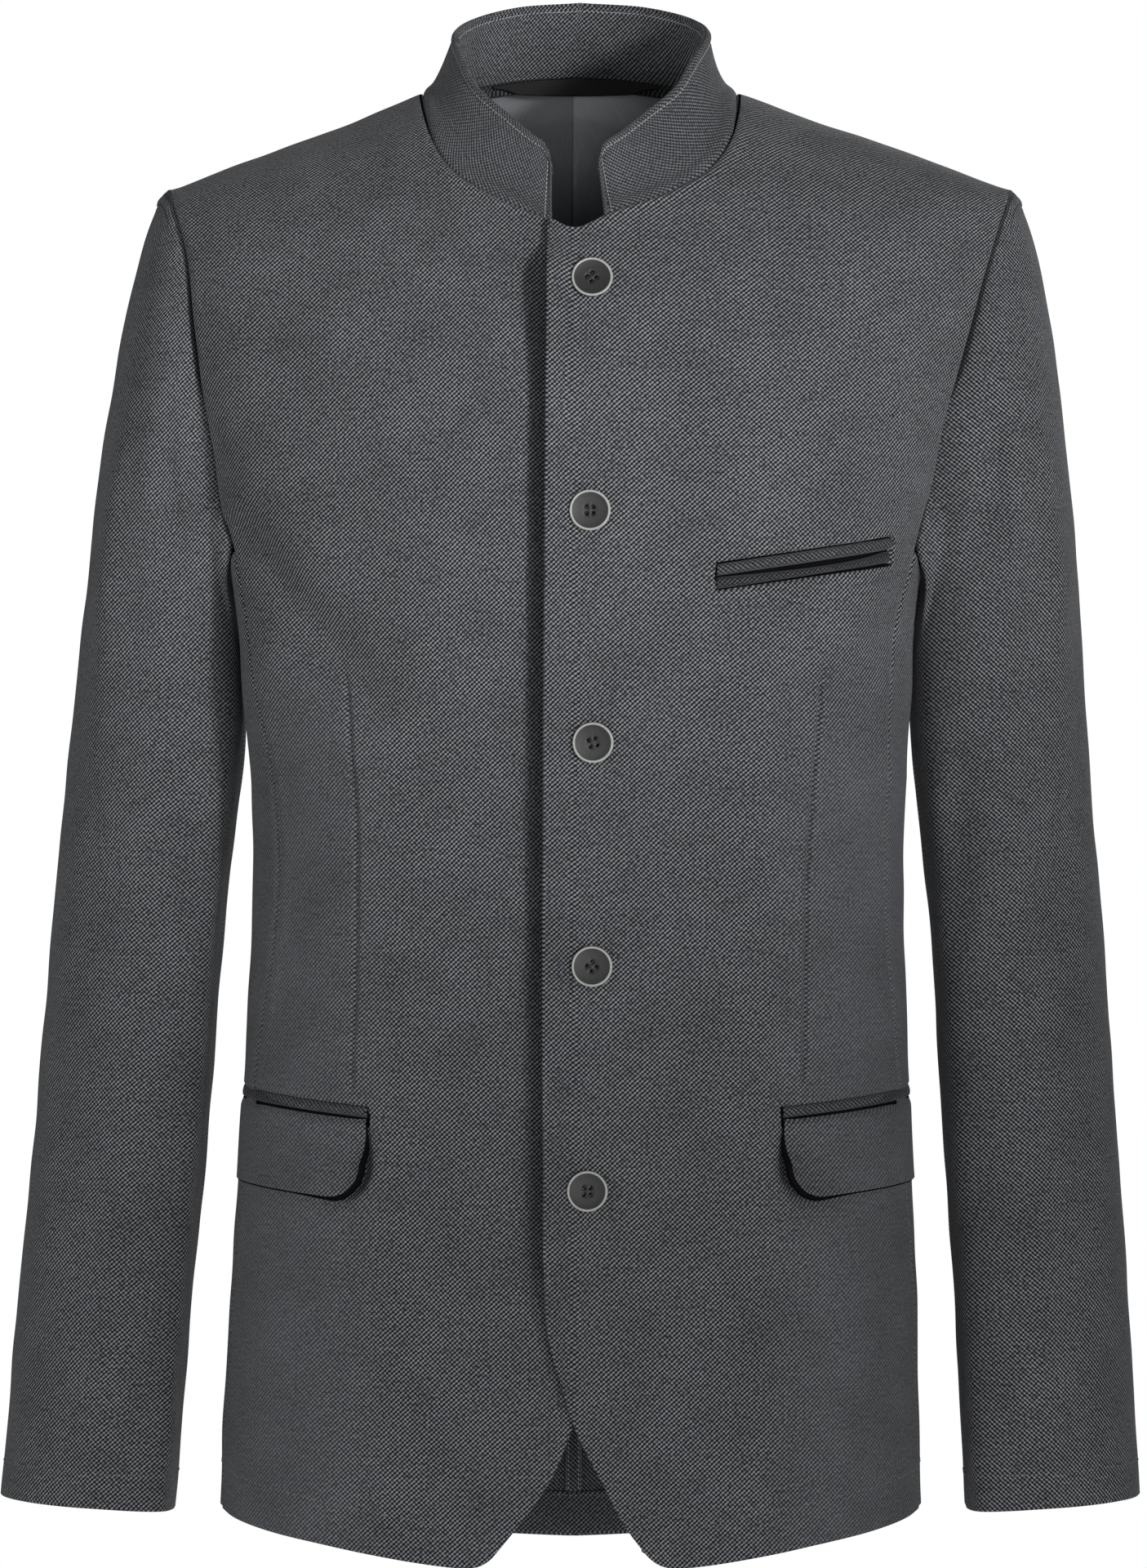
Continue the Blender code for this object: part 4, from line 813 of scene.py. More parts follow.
def front_grid(edge_name, corner):
    """Turn and level over a front, from its edge to the side seam and armhole, and its neck's first row."""
    shares = finer(steps_along(FRONT_WIDTH, COLUMN_STEP), *DART_FINE, DART_STEP)
    low = finer(steps_along(LOW_HEIGHT, ROW_STEP, fine_end=False), *CHEST_FINE_LOW, POCKET_STEP / LOW_HEIGHT)
    low = finer(low, *HIP_FINE, POCKET_STEP / LOW_HEIGHT)
    top = SEAM_TOPS["front"]
    foot = FRONT_EDGE[0][0]

    def edge_x(z):
        return curve(FRONT_EDGE, EDGE_COLUMNS, edge_name, z)

    left_z = foot + (top - foot) * low
    left_turn, left_level = body_place("front", edge_x(left_z), left_z)
    bottom = hem(seam_turn("front", SEAM_FEET["front"]))
    right_level = bottom + (top - bottom) * low
    turn = across(left_turn, seam_turn("front", right_level), shares)
    level = across(left_level, right_level, shares)
    hem_x = skin(turn[0], level[0])[:, 0]
    corner_share = np.clip((CORNER_END - hem_x) / (CORNER_END - edge_x(foot)), 0.0, 1.0)
    level += hem_shift(low, hem(turn[0]) + CORNER_RISE * corner_share ** CORNER_BEND, level)
    rise = steps_along(EDGE_UP_HEIGHT, ROW_STEP, fine_start=False, fine_end=False)
    rise = finer(rise, *CHEST_FINE_HIGH, POCKET_STEP / EDGE_UP_HEIGHT)[1:]
    neck = steps_along(NECK_LENGTH, ROW_STEP, fine_start=False)[1:]
    edge_up = top + (corner[1] - top) * rise
    edge_up_x = edge_x(edge_up)
    edge_up_x[-1] = corner[0]
    edge = body_place("front", edge_up_x, edge_up)
    arm = armhole_edge("front", np.concatenate([NECK_SHARE * rise, NECK_SHARE + (1 - NECK_SHARE) * neck]))
    left = [np.concatenate(pair) for pair in zip(edge, neck_edge("front", neck, corner))]
    turn = np.concatenate([turn, across(left[0], arm[0], shares)])
    level = np.concatenate([level, across(left[1], arm[1], shares)])
    moved = follow(level, pocket_top(turn)[1])
    seam_shift = seam_turn("front", moved[:, -1]) - seam_turn("front", level[:, -1])
    turn, level = turn + seam_shift[:, None] * shares, moved
    if edge_name == "over":
        x = skin(turn, level)[..., 0]
        held = ramp(x, *CHEST_ROW_START) * (1 - ramp(x, *CHEST_ROW_END))
        level = follow(level, chest_slit(np.clip(x, CHEST_START[0], CHEST_END[0]))[1], held)
        away = skin(turn, level)[..., 0] - corner[0]
        level += NECK_PEAK * hump(away, NECK_PEAK_REACH) * ramp(level, NECK_PEAK_START, corner[1])
    return turn, level, len(low) + len(rise)


def side_grid():
    """Turn and level over a side panel."""
    shares = steps_along(SIDE_WIDTH, COLUMN_STEP)
    low = finer(steps_along(LOW_HEIGHT, ROW_STEP), *HIP_FINE, POCKET_STEP / LOW_HEIGHT)
    levels = []
    for half in ("front", "back"):
        bottom = hem(seam_turn(half, SEAM_FEET[half]))
        levels.append(bottom + (SEAM_TOPS[half] - bottom) * low)
    turn = across(seam_turn("front", levels[0]), seam_turn("back", levels[1]), shares)
    level = across(levels[0], levels[1], shares)
    level += hem_shift(low, hem(turn[0]), level)
    level -= (low ** 4)[:, None] * (UNDERARM_DIP * np.sin(np.pi * shares))[None, :]
    moved = follow(level, pocket_top(turn)[1])
    front_shift = seam_turn("front", moved[:, 0]) - seam_turn("front", level[:, 0])
    back_shift = seam_turn("back", moved[:, -1]) - seam_turn("back", level[:, -1])
    return turn + across(front_shift, back_shift, shares), moved


def back_grid():
    """Turn and level over half of the back, from the side seam and armhole to the middle."""
    shares = steps_along(BACK_WIDTH, BACK_COLUMN_STEP)
    low = steps_along(LOW_HEIGHT, BACK_ROW_STEP, fine_end=False)
    top = SEAM_TOPS["back"]
    bottom = hem(seam_turn("back", SEAM_FEET["back"]))
    seam_level = bottom + (top - bottom) * low
    middle_level = hem(180.0) + (top - hem(180.0)) * low
    turn = across(seam_turn("back", seam_level), np.full(len(low), 180.0), shares)
    level = across(seam_level, middle_level, shares)
    level += hem_shift(low, hem(turn[0]), level)
    rise = steps_along(BACK_UP_HEIGHT, BACK_ROW_STEP, fine_start=False, fine_end=False)[1:]
    neck = steps_along(BACK_NECK_LENGTH, BACK_ROW_STEP, fine_start=False)[1:]
    neck_turn, neck_level = neck_edge("back", neck)
    first_climb = math.sqrt(RIDGE_TOP - top)
    last_climb = math.sqrt(RIDGE_TOP - NECKS["back"][0][1])
    middle_up = RIDGE_TOP - (first_climb + (last_climb - first_climb) * rise) ** 2
    arm_shares = np.concatenate([BACK_NECK_SHARE * rise, BACK_NECK_SHARE + (1 - BACK_NECK_SHARE) * neck])
    arm_turn, arm_level = armhole_edge("back", arm_shares)
    up_turn = across(arm_turn, np.concatenate([np.full(len(rise), 180.0), neck_turn]), shares)
    up_level = across(arm_level, np.concatenate([middle_up, neck_level]), shares)
    return np.concatenate([turn, up_turn]), np.concatenate([level, up_level])


# The lap, the pockets' hollows, the stance, and the creases


def lap_lift(points):
    """How far the left front stands off where it lies over the right one, more so along its edge."""
    x, z = points[..., 0], points[..., 2]
    lap = LAP_LIFT * (1 - ramp(x, *LAP_SPAN))
    corner = LAP_CORNER_LIFT * ramp(z, *LAP_CORNER_SPAN)
    held = 1 - LAP_HELD * ramp(z, *LAP_HELD_SPAN)
    return lap + held * (LAP_EDGE_LIFT + corner) * (1 - ramp(x, *LAP_EDGE_SPAN))


def lap_trough(points):
    """How far the right front sinks beside the lap's edge, with places in its own mirrored frame."""
    z = points[..., 2]
    away = points[..., 0] + curve(FRONT_EDGE, EDGE_COLUMNS, "over", z) - LAP_TROUGH_PLACE
    there = ramp(z, *LAP_TROUGH_SPAN) * (1 - ramp(z, *LAP_HELD_SPAN))
    wedge = ramp(z, *LAP_CORNER_SPAN)
    return LAP_TROUGH * there * hump(away, LAP_TROUGH_REACH + LAP_TROUGH_WEDGE * wedge)


def between_ends(share, ends):
    """1 between two ends of a pocket and 0 beyond, with a soft step at each."""
    return ramp(share, *ends[0]) * (1 - ramp(share, *ends[1]))


def pocket_sink(turn, level):
    """How far the cloth below a hip pocket is pressed in, with a groove round the flap's loose corner."""
    share, top = pocket_top(turn)
    below = top - level
    start, full = POCKET_TOP
    down = ramp(below, start - JET_WIDTH, full - JET_WIDTH)
    down = down * (1 - ramp(below, FLAP_DEPTH - 2 * POCKET_SOFT, FLAP_DEPTH - POCKET_SOFT))
    along, up = share * FLAP_LENGTH, FLAP_DEPTH - below
    round_along, round_up = np.maximum(FLAP_CORNER - along, 0.0), np.maximum(FLAP_CORNER - up, 0.0)
    rounded = np.hypot(round_along, round_up) - FLAP_CORNER
    outside = np.where((round_along > 0) & (round_up > 0), rounded, np.maximum(-along, -up))
    near = np.exp(-(along ** 2 + up ** 2) / (2 * POCKET_CORNER_REACH ** 2))
    groove = hump(outside, POCKET_CORNER_WIDTH, POCKET_CORNER_PLACE)
    return POCKET_SINK * between_ends(share, POCKET_ENDS) * down + POCKET_CORNER_SINK * near * groove


def stance(points):
    """Points with the garment's small lean, more so away from its middle, and with the armholes' shifts."""
    x, z = points[..., 0], points[..., 2]
    moved = points.copy()
    moved[..., 0] += curve(STANCE, STANCE_COLUMNS, "shift", z) * (1 - hump(x, STANCE_REACH))
    for side, rows in ARM_SHIFTS.items():
        pull = curve(rows, STANCE_COLUMNS, "shift", z)
        pull = np.where((z > rows[0][0]) & (z < rows[-1][0]), pull, 0.0)
        seam = side * (ARM_LOW_X + ARM_LEAN * np.clip(z - ARM_LOW_Z, 0.0, None))
        moved[..., 0] += pull * hump(x, ARM_REACH, seam)
    return moved


def mirrored(points, side):
    return points * np.array([side, 1.0, 1.0])


def folds(cloth, x, z):
    """Height of the creases of one cloth at places across and heights."""
    total = np.zeros(np.shape(x))
    for first_x, first_z, last_x, last_z, bow, width, height in FOLDS[cloth]:
        way_x = last_x - first_x
        way_z = last_z - first_z
        length = math.hypot(way_x, way_z)
        share = ((x - first_x) * way_x + (z - first_z) * way_z) / length ** 2
        inside = np.clip(share, 0.0, 1.0)
        taper = (4 * inside * (1 - inside)) ** FOLD_TAPER
        aside = ((x - first_x) * way_z - (z - first_z) * way_x) / length - bow * taper
        uneven = 1 + FOLD_UNEVEN * np.sin(FOLD_TURN * inside + FOLD_PHASE * first_x)
        start, growth = FOLD_WIDTHS
        total += height * taper * uneven * hump(aside, width * (start + growth * inside))
    return total * FOLD_FULLNESS[cloth]


def waves(x, z):
    """The slow waves of the cloth."""
    total = np.zeros(np.shape(x))
    over_phase, down_phase = WAVE_PHASES
    for number, (length_x, length_z, height) in enumerate(WAVES):
        turn = 2 * np.pi * (x / length_x + WAVE_SWAY * np.sin(z / length_z)) + over_phase * number
        total += height * np.sin(turn) * np.cos(2 * np.pi * z / length_z + down_phase * number)
    return total


def dart(side, x, z):
    """The groove of a front's dart, with the cloth swelling beside it."""
    foot, top = min(DARTS[side])[0], max(DARTS[side])[0]
    away = x - curve(DARTS[side], DART_COLUMNS, "x", z)
    ends = ramp(z, foot + DART_FOOT[0], foot + DART_FOOT[1]) * (1 - ramp(z, top - DART_FADE, top))
    return ends * (DART_SWELL * hump(away, DART_SWELL_WIDTH) - DART_DEPTH * hump(away, DART_WIDTH))


def front_share(turn):
    """How much of the creases at turns of the body are those of the front."""
    return ramp(np.cos(np.radians(turn)), *FRONT_CREASES)


def body_creases(base, front, side):
    """Height of the creases and waves at points of the body."""
    seen = stance(mirrored(base, side))
    x, z = seen[..., 0], seen[..., 2]
    return front * folds("front", x, z) + (1 - front) * folds("back", x, z) + waves(x, z)


def body_cloth(turn, level, side, lift=0.0):
    """Points of the creased cloth on the body, before the stance, and its outward directions."""
    base = skin(turn, level)
    out = skin_facing(turn, level)
    amount = lift + body_creases(base, front_share(turn), side)
    return base + out * amount[..., None], out


def seam_roll(points, low=0.0, high=0.0, start=0.0, end=0.0):
    """How far a grid dips at its sewn edges: 1 for a full seam, at its first and last rows and columns."""
    down = run_along(points, 0)
    over = run_along(points, 1)
    total = np.zeros(down.shape)
    for away, share in ((down, low), (down[-1:] - down, high), (over, start), (over[:, -1:] - over, end)):
        swell = SEAM_SWELL * hump(away, SEAM_SWELL_REACH, SEAM_SWELL_PLACE)
        total += share * (swell - SEAM_DIP * hump(away, SEAM_DIP_REACH))
    return total


# The sleeves' form


def armhole_loop():
    """Turns about the armhole's middle, where 0 is the top, 90 the front and 180 below, and rows at them.

    A row holds a point of the seam, the body's outward direction there and the front's share of its creases.
    """
    edge, below = (np.linspace(0.0, 1.0, count) for count in LOOP_STEPS)
    paths = (armhole_edge("front", 1 - edge), underarm(below), armhole_edge("back", edge))
    rows = [np.column_stack([skin(*at), skin_facing(*at), front_share(at[0])])[:-1] for at in paths]
    loop = np.concatenate(rows)
    turn = np.degrees(np.arctan2(ARMHOLE_CENTRE_Y - loop[:, 1], loop[:, 2] - ARMHOLE_CENTRE_Z)) % 360.0
    order = np.argsort(turn)
    turn, loop = turn[order], loop[order]
    turns = np.concatenate([turn - 360.0, turn, turn + 360.0])
    return turns, np.concatenate([loop, loop, loop])


LOOP_TURNS, LOOP_ROWS = armhole_loop()


def armhole(turn):
    """Points of the armhole seam, the body's outward directions there and the front's share of creases."""
    rows = read_line(LOOP_ROWS, LOOP_TURNS, turn)
    return rows[..., :3], rows[..., 3:6], rows[..., 6]


def tube_part(name, height):
    return curve(SLEEVE, SLEEVE_COLUMNS, name, height)


def tube(turn, height):
    """Points of the sleeve below its head."""
    over, rise = np.cos(np.radians(turn)), np.sin(np.radians(turn))
    over_power, rise_power = (np.where(over < 0, power, 1.0) for power in SLEEVE_SQUARE)
    aside = tube_part("half_width", height) * np.sign(over) * np.abs(over) ** over_power
    forward = tube_part("half_depth", height) * np.sign(rise) * np.abs(rise) ** rise_power
    aside = aside + SLEEVE_OVERHANG * 2 * np.clip(rise, 0.0, None) * np.clip(over, None, 0.0)
    x = tube_part("centre_x", height) + aside
    return np.stack([x, tube_part("centre_y", height) - forward, height + SLEEVE_SLANT * aside], axis=-1)


def sleeve(turn, run):
    """Points of the sleeve: run 0 is the armhole seam, 1 the end of the head and 2 the cuff."""
    out_x, out_y, out_z, leave, arrive = (curve(CAP, CAP_COLUMNS, name, turn) for name in CAP_COLUMNS[1:])
    top = SLEEVE[0][0]
    cuff = SLEEVE[-1][0]
    start = armhole(turn)[0]
    end = tube(turn, np.full(np.shape(turn), top))
    down = unit(tube(turn, np.full(np.shape(turn), top - TUBE_AHEAD)) - end)
    first = start + unit(np.stack([out_x, out_y, out_z], axis=-1)) * leave[..., None]
    second = end - down * arrive[..., None]
    t = np.clip(run, 0.0, 1.0)[..., None]
    head = start * (1 - t) ** 3 + 3 * first * t * (1 - t) ** 2 + 3 * second * t * t * (1 - t) + end * t ** 3
    below = tube(turn, top + (cuff - top) * np.clip(run - 1.0, 0.0, 1.0))
    return np.where((run > 1.0)[..., None], below, head)


def sleeve_cloth(turn, run, side):
    """Points of a creased sleeve, before the stance, and its outward directions."""
    turn_step, run_step = SLEEVE_FACING
    shift = np.where(run > SLEEVE_CUFF_RUN, -run_step, run_step)
    base = sleeve(turn, run)
    ahead = (sleeve(turn, run + shift) - base) * np.sign(shift)[..., None]
    aside = sleeve(turn + turn_step, run) - sleeve(turn - turn_step, run)
    out = unit(np.cross(aside, ahead))
    word = "sleeve_left" if side > 0 else "sleeve_right"
    round_place = SLEEVE_RADIUS * np.radians((turn + 180.0) % 360.0 - 180.0)
    height = base[..., 2]
    amount = folds(word, round_place, height) + waves(round_place + SLEEVE_WAVE_SHIFT * side, height)
    amount *= ramp(run, 0.0, SLEEVE_CREASE_START)
    seam, seam_out, front = armhole(turn)
    held = body_creases(seam, front, side) * hump(run_along(base, 0), SEAM_HOLD)
    return base + out * amount[..., None] + seam_out * held[..., None], out


def sleeve_place(turn, points, length):
    """Places on the flat cloth of a sleeve, in metres: along its level sections, and up from the cuff."""
    cuff, top = SLEEVE[-1][0], SLEEVE[0][0]
    height = np.clip(points[..., 2], cuff, top)
    head = ramp(points[..., 2], top, HEAD_TOP)
    aside = points[..., 0] - tube_part("centre_x", height) + HEAD_INSET * head
    centre_y = tube_part("centre_y", height) + (ARMHOLE_CENTRE_Y - SLEEVE[0][2]) * head
    forward = np.abs(centre_y - points[..., 1])
    rounded = np.arctan2(forward / tube_part("half_depth", height), aside / tube_part("half_width", height))
    over = np.where(aside > 0, SLEEVE_RADIUS * rounded, SLEEVE_RADIUS * np.pi / 2 - aside)
    own = SLEEVE_RADIUS * np.radians(np.abs(turn))
    over += (own - over) * ramp(np.abs(turn), *SLEEVE_INNER)
    up = length + (points[..., 2] - cuff - length) * ramp(np.abs(turn), *SLEEVE_FRONT)
    return np.stack([np.sign(turn) * over, up], axis=-1) * MM


# The collar's form


def neck_line(side):
    """Points along half of the neckline to the collar's front end, and their distances."""
    fine = np.linspace(0.0, 1.0, NECK_STEPS)
    back = skin(*neck_edge("back", fine))
    places = neck_edge("front", fine[::-1], NECK_CORNERS[side])
    front = skin(*places)
    if side > 0:
        front += skin_facing(*places) * lap_lift(front)[:, None]
    end = int(np.argmax(front[1:, 0] < COLLAR_ENDS[side]))
    line = np.concatenate([back, front[1:]])[:len(back) + end]
    return line, run_along(line, 0)


def collar_half(side, heights):
    """Points of half of the collar from the back's middle forward: height 0 is the neck seam."""
    line, run = neck_line(side)
    places = run[-1] * steps_along(COLLAR_LENGTH, COLUMN_STEP, fine_start=False)
    base = read_line(line, run, places)
    shares = places / run[-1]
    top = np.stack([curve(COLLAR_TOP, COLLAR_COLUMNS, axis, shares) for axis in "xyz"], axis=-1)
    tall = np.linalg.norm(top - base, axis=1)
    inside = np.clip(COLLAR_CORNER - (run[-1] - places), 0.0, COLLAR_CORNER)
    reach = 1 - (COLLAR_CORNER - np.sqrt(COLLAR_CORNER ** 2 - inside ** 2)) / tall
    height = reach[:, None] * heights[None, :]
    points = base[:, None] + (top - base)[:, None] * height[..., None]
    along = unit(np.gradient(base, axis=0))
    outward = unit(np.cross(unit(top - base), along))
    points -= outward[:, None] * (COLLAR_HOLLOW * np.sin(np.pi * height ** COLLAR_HOLLOW_BEND))[..., None]
    points -= unit(top - base)[:, None] * COLLAR_TUCK
    points = mirrored(points, side)
    points[..., 0] += COLLAR_LEAN * ramp(points[..., 2], *COLLAR_LEAN_SPAN)
    return points


def collar_grid(heights):
    """Points of the whole collar from front to front, and its directions away from the neck."""
    grid = np.concatenate([collar_half(-1, heights)[::-1], collar_half(1, heights)[1:]])
    out = unit(np.cross(np.gradient(grid, axis=0), np.gradient(grid, axis=1)))
    if out[len(out) // 2, 0, 1] < 0:
        out = -out
    return grid, out


# Places on the flat cloth


def body_map():
    """Distances along the cloth of the body, across from the front's middle and up from below the hem."""
    turns = np.linspace(MAP_START, 180.0, MAP_SIZE[0])
    climbs = np.linspace(0.0, math.sqrt(RIDGE_TOP - BODY_FOOT), MAP_SIZE[1])
    turn, climb = np.meshgrid(turns, climbs)
    points = skin(turn, RIDGE_TOP - climb ** 2)
    over = run_along(points, 1)
    middle = int(np.argmin(np.abs(turns)))
    over -= over[:, middle:middle + 1]
    return turns, climbs, over, run_along(points[::-1], 0)[::-1]


MAP_TURNS, MAP_CLIMBS, MAP_OVER, MAP_UP = body_map()


def cloth_place(turn, level, side):
    """Places on the flat cloth of the body, in metres."""
    climb = np.sqrt(np.maximum(RIDGE_TOP - level, 0.0))
    i = np.clip((turn - MAP_TURNS[0]) / (MAP_TURNS[1] - MAP_TURNS[0]), 0.0, len(MAP_TURNS) - MAP_EDGE)
    j = np.clip(climb / MAP_CLIMBS[1], 0.0, len(MAP_CLIMBS) - MAP_EDGE)
    column_at, row_at = i.astype(int), j.astype(int)
    s, t = i - column_at, j - row_at

    def read(values):
        low = values[row_at, column_at] * (1 - s) + values[row_at, column_at + 1] * s
        high = values[row_at + 1, column_at] * (1 - s) + values[row_at + 1, column_at + 1] * s
        return low * (1 - t) + high * t

    return np.stack([side * read(MAP_OVER), read(MAP_UP)], axis=-1) * MM


def grid_place(points, turned=1.0):
    """Places on the flat cloth of a piece cut along its own grid, in metres."""
    return np.stack([turned * run_along(points, 1), -run_along(points, 0)], axis=-1) * MM


# Meshes and stitches


def add_mesh(name, points, faces, places, looks, nodes=(), face_looks=None):
    """A piece from points in millimetres, which rides on the garment and may stand for its solids."""
    mesh = bpy.data.meshes.new(name)
    mesh.from_pydata((stance(points) * MM).tolist(), [], [list(face) for face in faces])
    if places is not None:
        corners = np.zeros(len(mesh.loops), np.int32)
        mesh.loops.foreach_get("vertex_index", corners)
        layer = mesh.uv_layers.new(name="cloth")
        layer.data.foreach_set("uv", places[corners].astype(np.float32).ravel())
    for look in looks:
        mesh.materials.append(look)
    if face_looks is not None:
        mesh.polygons.foreach_set("material_index", face_looks)
    mesh.shade_smooth()
    made = bpy.data.objects.new(name, mesh)
    bpy.context.scene.collection.objects.link(made)
    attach(made, "root")
    if nodes:
        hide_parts(*nodes)
    return made


def shell(outer, out, thick, spread=0.0):
    """Points and faces of a closed shell below an outer grid, with a rounded rim, and the rim's places."""
    rows, columns = outer.shape[:2]
    count = rows * columns
    index = np.arange(count).reshape(rows, columns)
    inner = outer - out * thick + spread
    away = np.zeros(outer.shape)
    away[0] += unit(outer[0] - outer[1])
    away[-1] += unit(outer[-1] - outer[-2])
    away[:, 0] += unit(outer[:, 0] - outer[:, 1])
    away[:, -1] += unit(outer[:, -1] - outer[:, -2])
    rim = np.concatenate([index[0, :-1], index[:-1, -1], index[-1, :0:-1], index[:0:-1, 0]])
    middle = ((outer + inner) / 2).reshape(-1, 3)[rim] + unit(away.reshape(-1, 3)[rim]) * thick * RIM_ROUND
    points = np.concatenate([outer.reshape(-1, 3), inner.reshape(-1, 3), middle])
    ring = 2 * count + np.arange(len(rim))
    next_rim, next_ring = np.roll(rim, -1), np.roll(ring, -1)
    quads = np.stack([index[:-1, :-1], index[:-1, 1:], index[1:, 1:], index[1:, :-1]], axis=-1).reshape(-1, 4)
    faces = np.concatenate([
        quads, quads[:, ::-1] + count,
        np.stack([next_rim, rim, ring, next_ring], axis=-1),
        np.stack([next_ring, ring, rim + count, next_rim + count], axis=-1),
    ])
    a, b, c, d = (points[faces[:, k]] for k in range(4))
    if np.sum(a * np.cross(b, c)) + np.sum(a * np.cross(c, d)) < 0:
        faces = faces[:, ::-1]
    return points, faces, rim


def add_shell(name, side, outer, out, thick, places, look,
              second_look=None, patch=None, patch_inside=False, spread=None):
    """A piece of cloth as a shell that stands for the solid of its name.

    A second look goes on the cells of a patch, on the outside or the inside, or, with no patch, on the whole
    inside, which may spread beyond the edge.
    """
    moved = 0.0 if spread is None else mirrored(spread, side)
    points, faces, rim = shell(mirrored(outer, side), mirrored(out, side), thick, moved)
    flat = places.reshape(-1, 2)
    looks, face_looks = [look], None
    if second_look is not None:
        cells = (outer.shape[0] - 1) * (outer.shape[1] - 1)
        looks.append(second_look)
        face_looks = np.zeros(len(faces), np.int32)
        if patch is not None:
            first = cells if patch_inside else 0
            face_looks[first:first + cells] = patch.ravel()
        elif spread is not None:
            face_looks[cells:] = 1
        else:
            face_looks[cells:2 * cells] = 1
    made = add_mesh(name + "_cloth", points, faces, np.concatenate([flat, flat, flat[rim]]), looks,
                    (name,), face_looks)
    return made


def line_from_edge(points, out, distance):
    """Places at a distance from the first row of a grid, and the outward directions there."""
    down = run_along(points, 0)
    columns = range(points.shape[1])
    places = np.array([read_line(points[:, k], down[:, k], distance) for k in columns])
    outward = np.array([read_line(out[:, k], down[:, k], distance) for k in columns])
    return places, unit(outward)


def stitch_shape():
    """One stitch as a spindle of unit length and radius: points and faces."""
    sides = STITCH_SIDES
    points = [(-0.5, 0.0, 0.0)]
    for along in (-STITCH_SHOULDER, STITCH_SHOULDER):
        points += [(along, y, z) for y, z, _ in circle(1.0, 0.0, sides)]
    points.append((0.5, 0.0, 0.0))
    last = len(points) - 1
    faces = []
    for k in range(sides):
        n = (k + 1) % sides
        faces.append((0, 1 + n, 1 + k))
        faces.append((1 + k, 1 + n, 1 + sides + n))
        faces.append((1 + k, 1 + sides + n, 1 + sides + k))
        faces.append((1 + sides + k, 1 + sides + n, last))
    return np.array(points), np.array(faces)


def stitches(line, outward, kind, side=1, lean=0.0):
    """Points and faces of a row of stitches along a line on one side, each leaning by some degrees."""
    length, gap, radius = kind
    line, outward = mirrored(line, side), mirrored(outward, side)
    run = run_along(line, 0)
    at = np.arange(gap, run[-1] - length, length + gap) + length / 2
    up = unit(read_line(outward, run, at))
    ahead = unit(read_line(line, run, at + length / 2) - read_line(line, run, at - length / 2))
    aside = unit(np.cross(up, ahead))
    cosine, sine = math.cos(math.radians(lean)), math.sin(math.radians(lean))
    ahead, aside = ahead * cosine + aside * sine, aside * cosine - ahead * sine
    shape, faces = stitch_shape()
    points = (read_line(line, run, at)[:, None] + up[:, None] * radius * STITCH_RISE
              + ahead[:, None] * shape[None, :, :1] * length
              + aside[:, None] * shape[None, :, 1:2] * radius
              + up[:, None] * shape[None, :, 2:] * radius)
    offsets = np.arange(len(at)) * len(shape)
    return points.reshape(-1, 3), (faces[None] + offsets[:, None, None]).reshape(-1, 3)


def add_stitches(name, rows, look):
    """Several rows of stitches as one piece."""
    points, faces, count = [], [], 0
    for row_points, row_faces in rows:
        points.append(row_points)
        faces.append(row_faces + count)
        count += len(row_points)
    return add_mesh(name, np.concatenate(points), np.concatenate(faces), None, [look])


def add_edge_stitches(name, side, points, out, rise, look):
    """A row of pick stitches at a distance from the first row of a grid."""
    add_stitches(name, [stitches(*line_from_edge(points, out, rise), PICK_STITCH, side)], look)


# The panels, the sleeves and the collar


def chest_hollow(points):
    """How far the left front sinks below the slit of the chest pocket."""
    share, slit = chest_slit(points[..., 0])
    away = np.abs(points[..., 2] - slit)
    return CHEST_HOLLOW * between_ends(share, CHEST_ENDS) * (1 - ramp(away, *CHEST_HOLLOW_SPAN))


def cell_middle(values):
    """The middle value of each cell of a grid."""
    return (values[:-1, :-1] + values[1:, :-1] + values[:-1, 1:] + values[1:, 1:]) / 4


def hip_pocket_and_shade_cells(turn, level):
    """Cells of a panel behind and just beside a hip pocket's jet, in dark pocket cloth: the pocket's inside
    between jet and flap, and painted shade in the grooves round the jet.
    """
    share, top = pocket_top(cell_middle(turn))
    above = cell_middle(level) - top
    return ((share > -POCKET_SHADE_END) & (share < POCKET_SHADE_FAR_END) & (above > -POCKET_SHADE_LOW)
            & (above < JET_WIDTH + POCKET_SHADE_LINE))


def chest_pocket_and_shade_cells(points):
    """Cells of the left front that lie behind the jets of the chest pocket, in dark pocket cloth: the
    pocket's inside in the slit, and painted shade past the jets' edges.
    """
    share, slit = chest_slit(cell_middle(points[..., 0]))
    away = np.abs(cell_middle(points[..., 2]) - slit)
    return (share > -POCKET_SHADE_END) & (share < 1.0) & (away < CHEST_SLIT + JET_WIDTH + POCKET_SHADE_LINE)


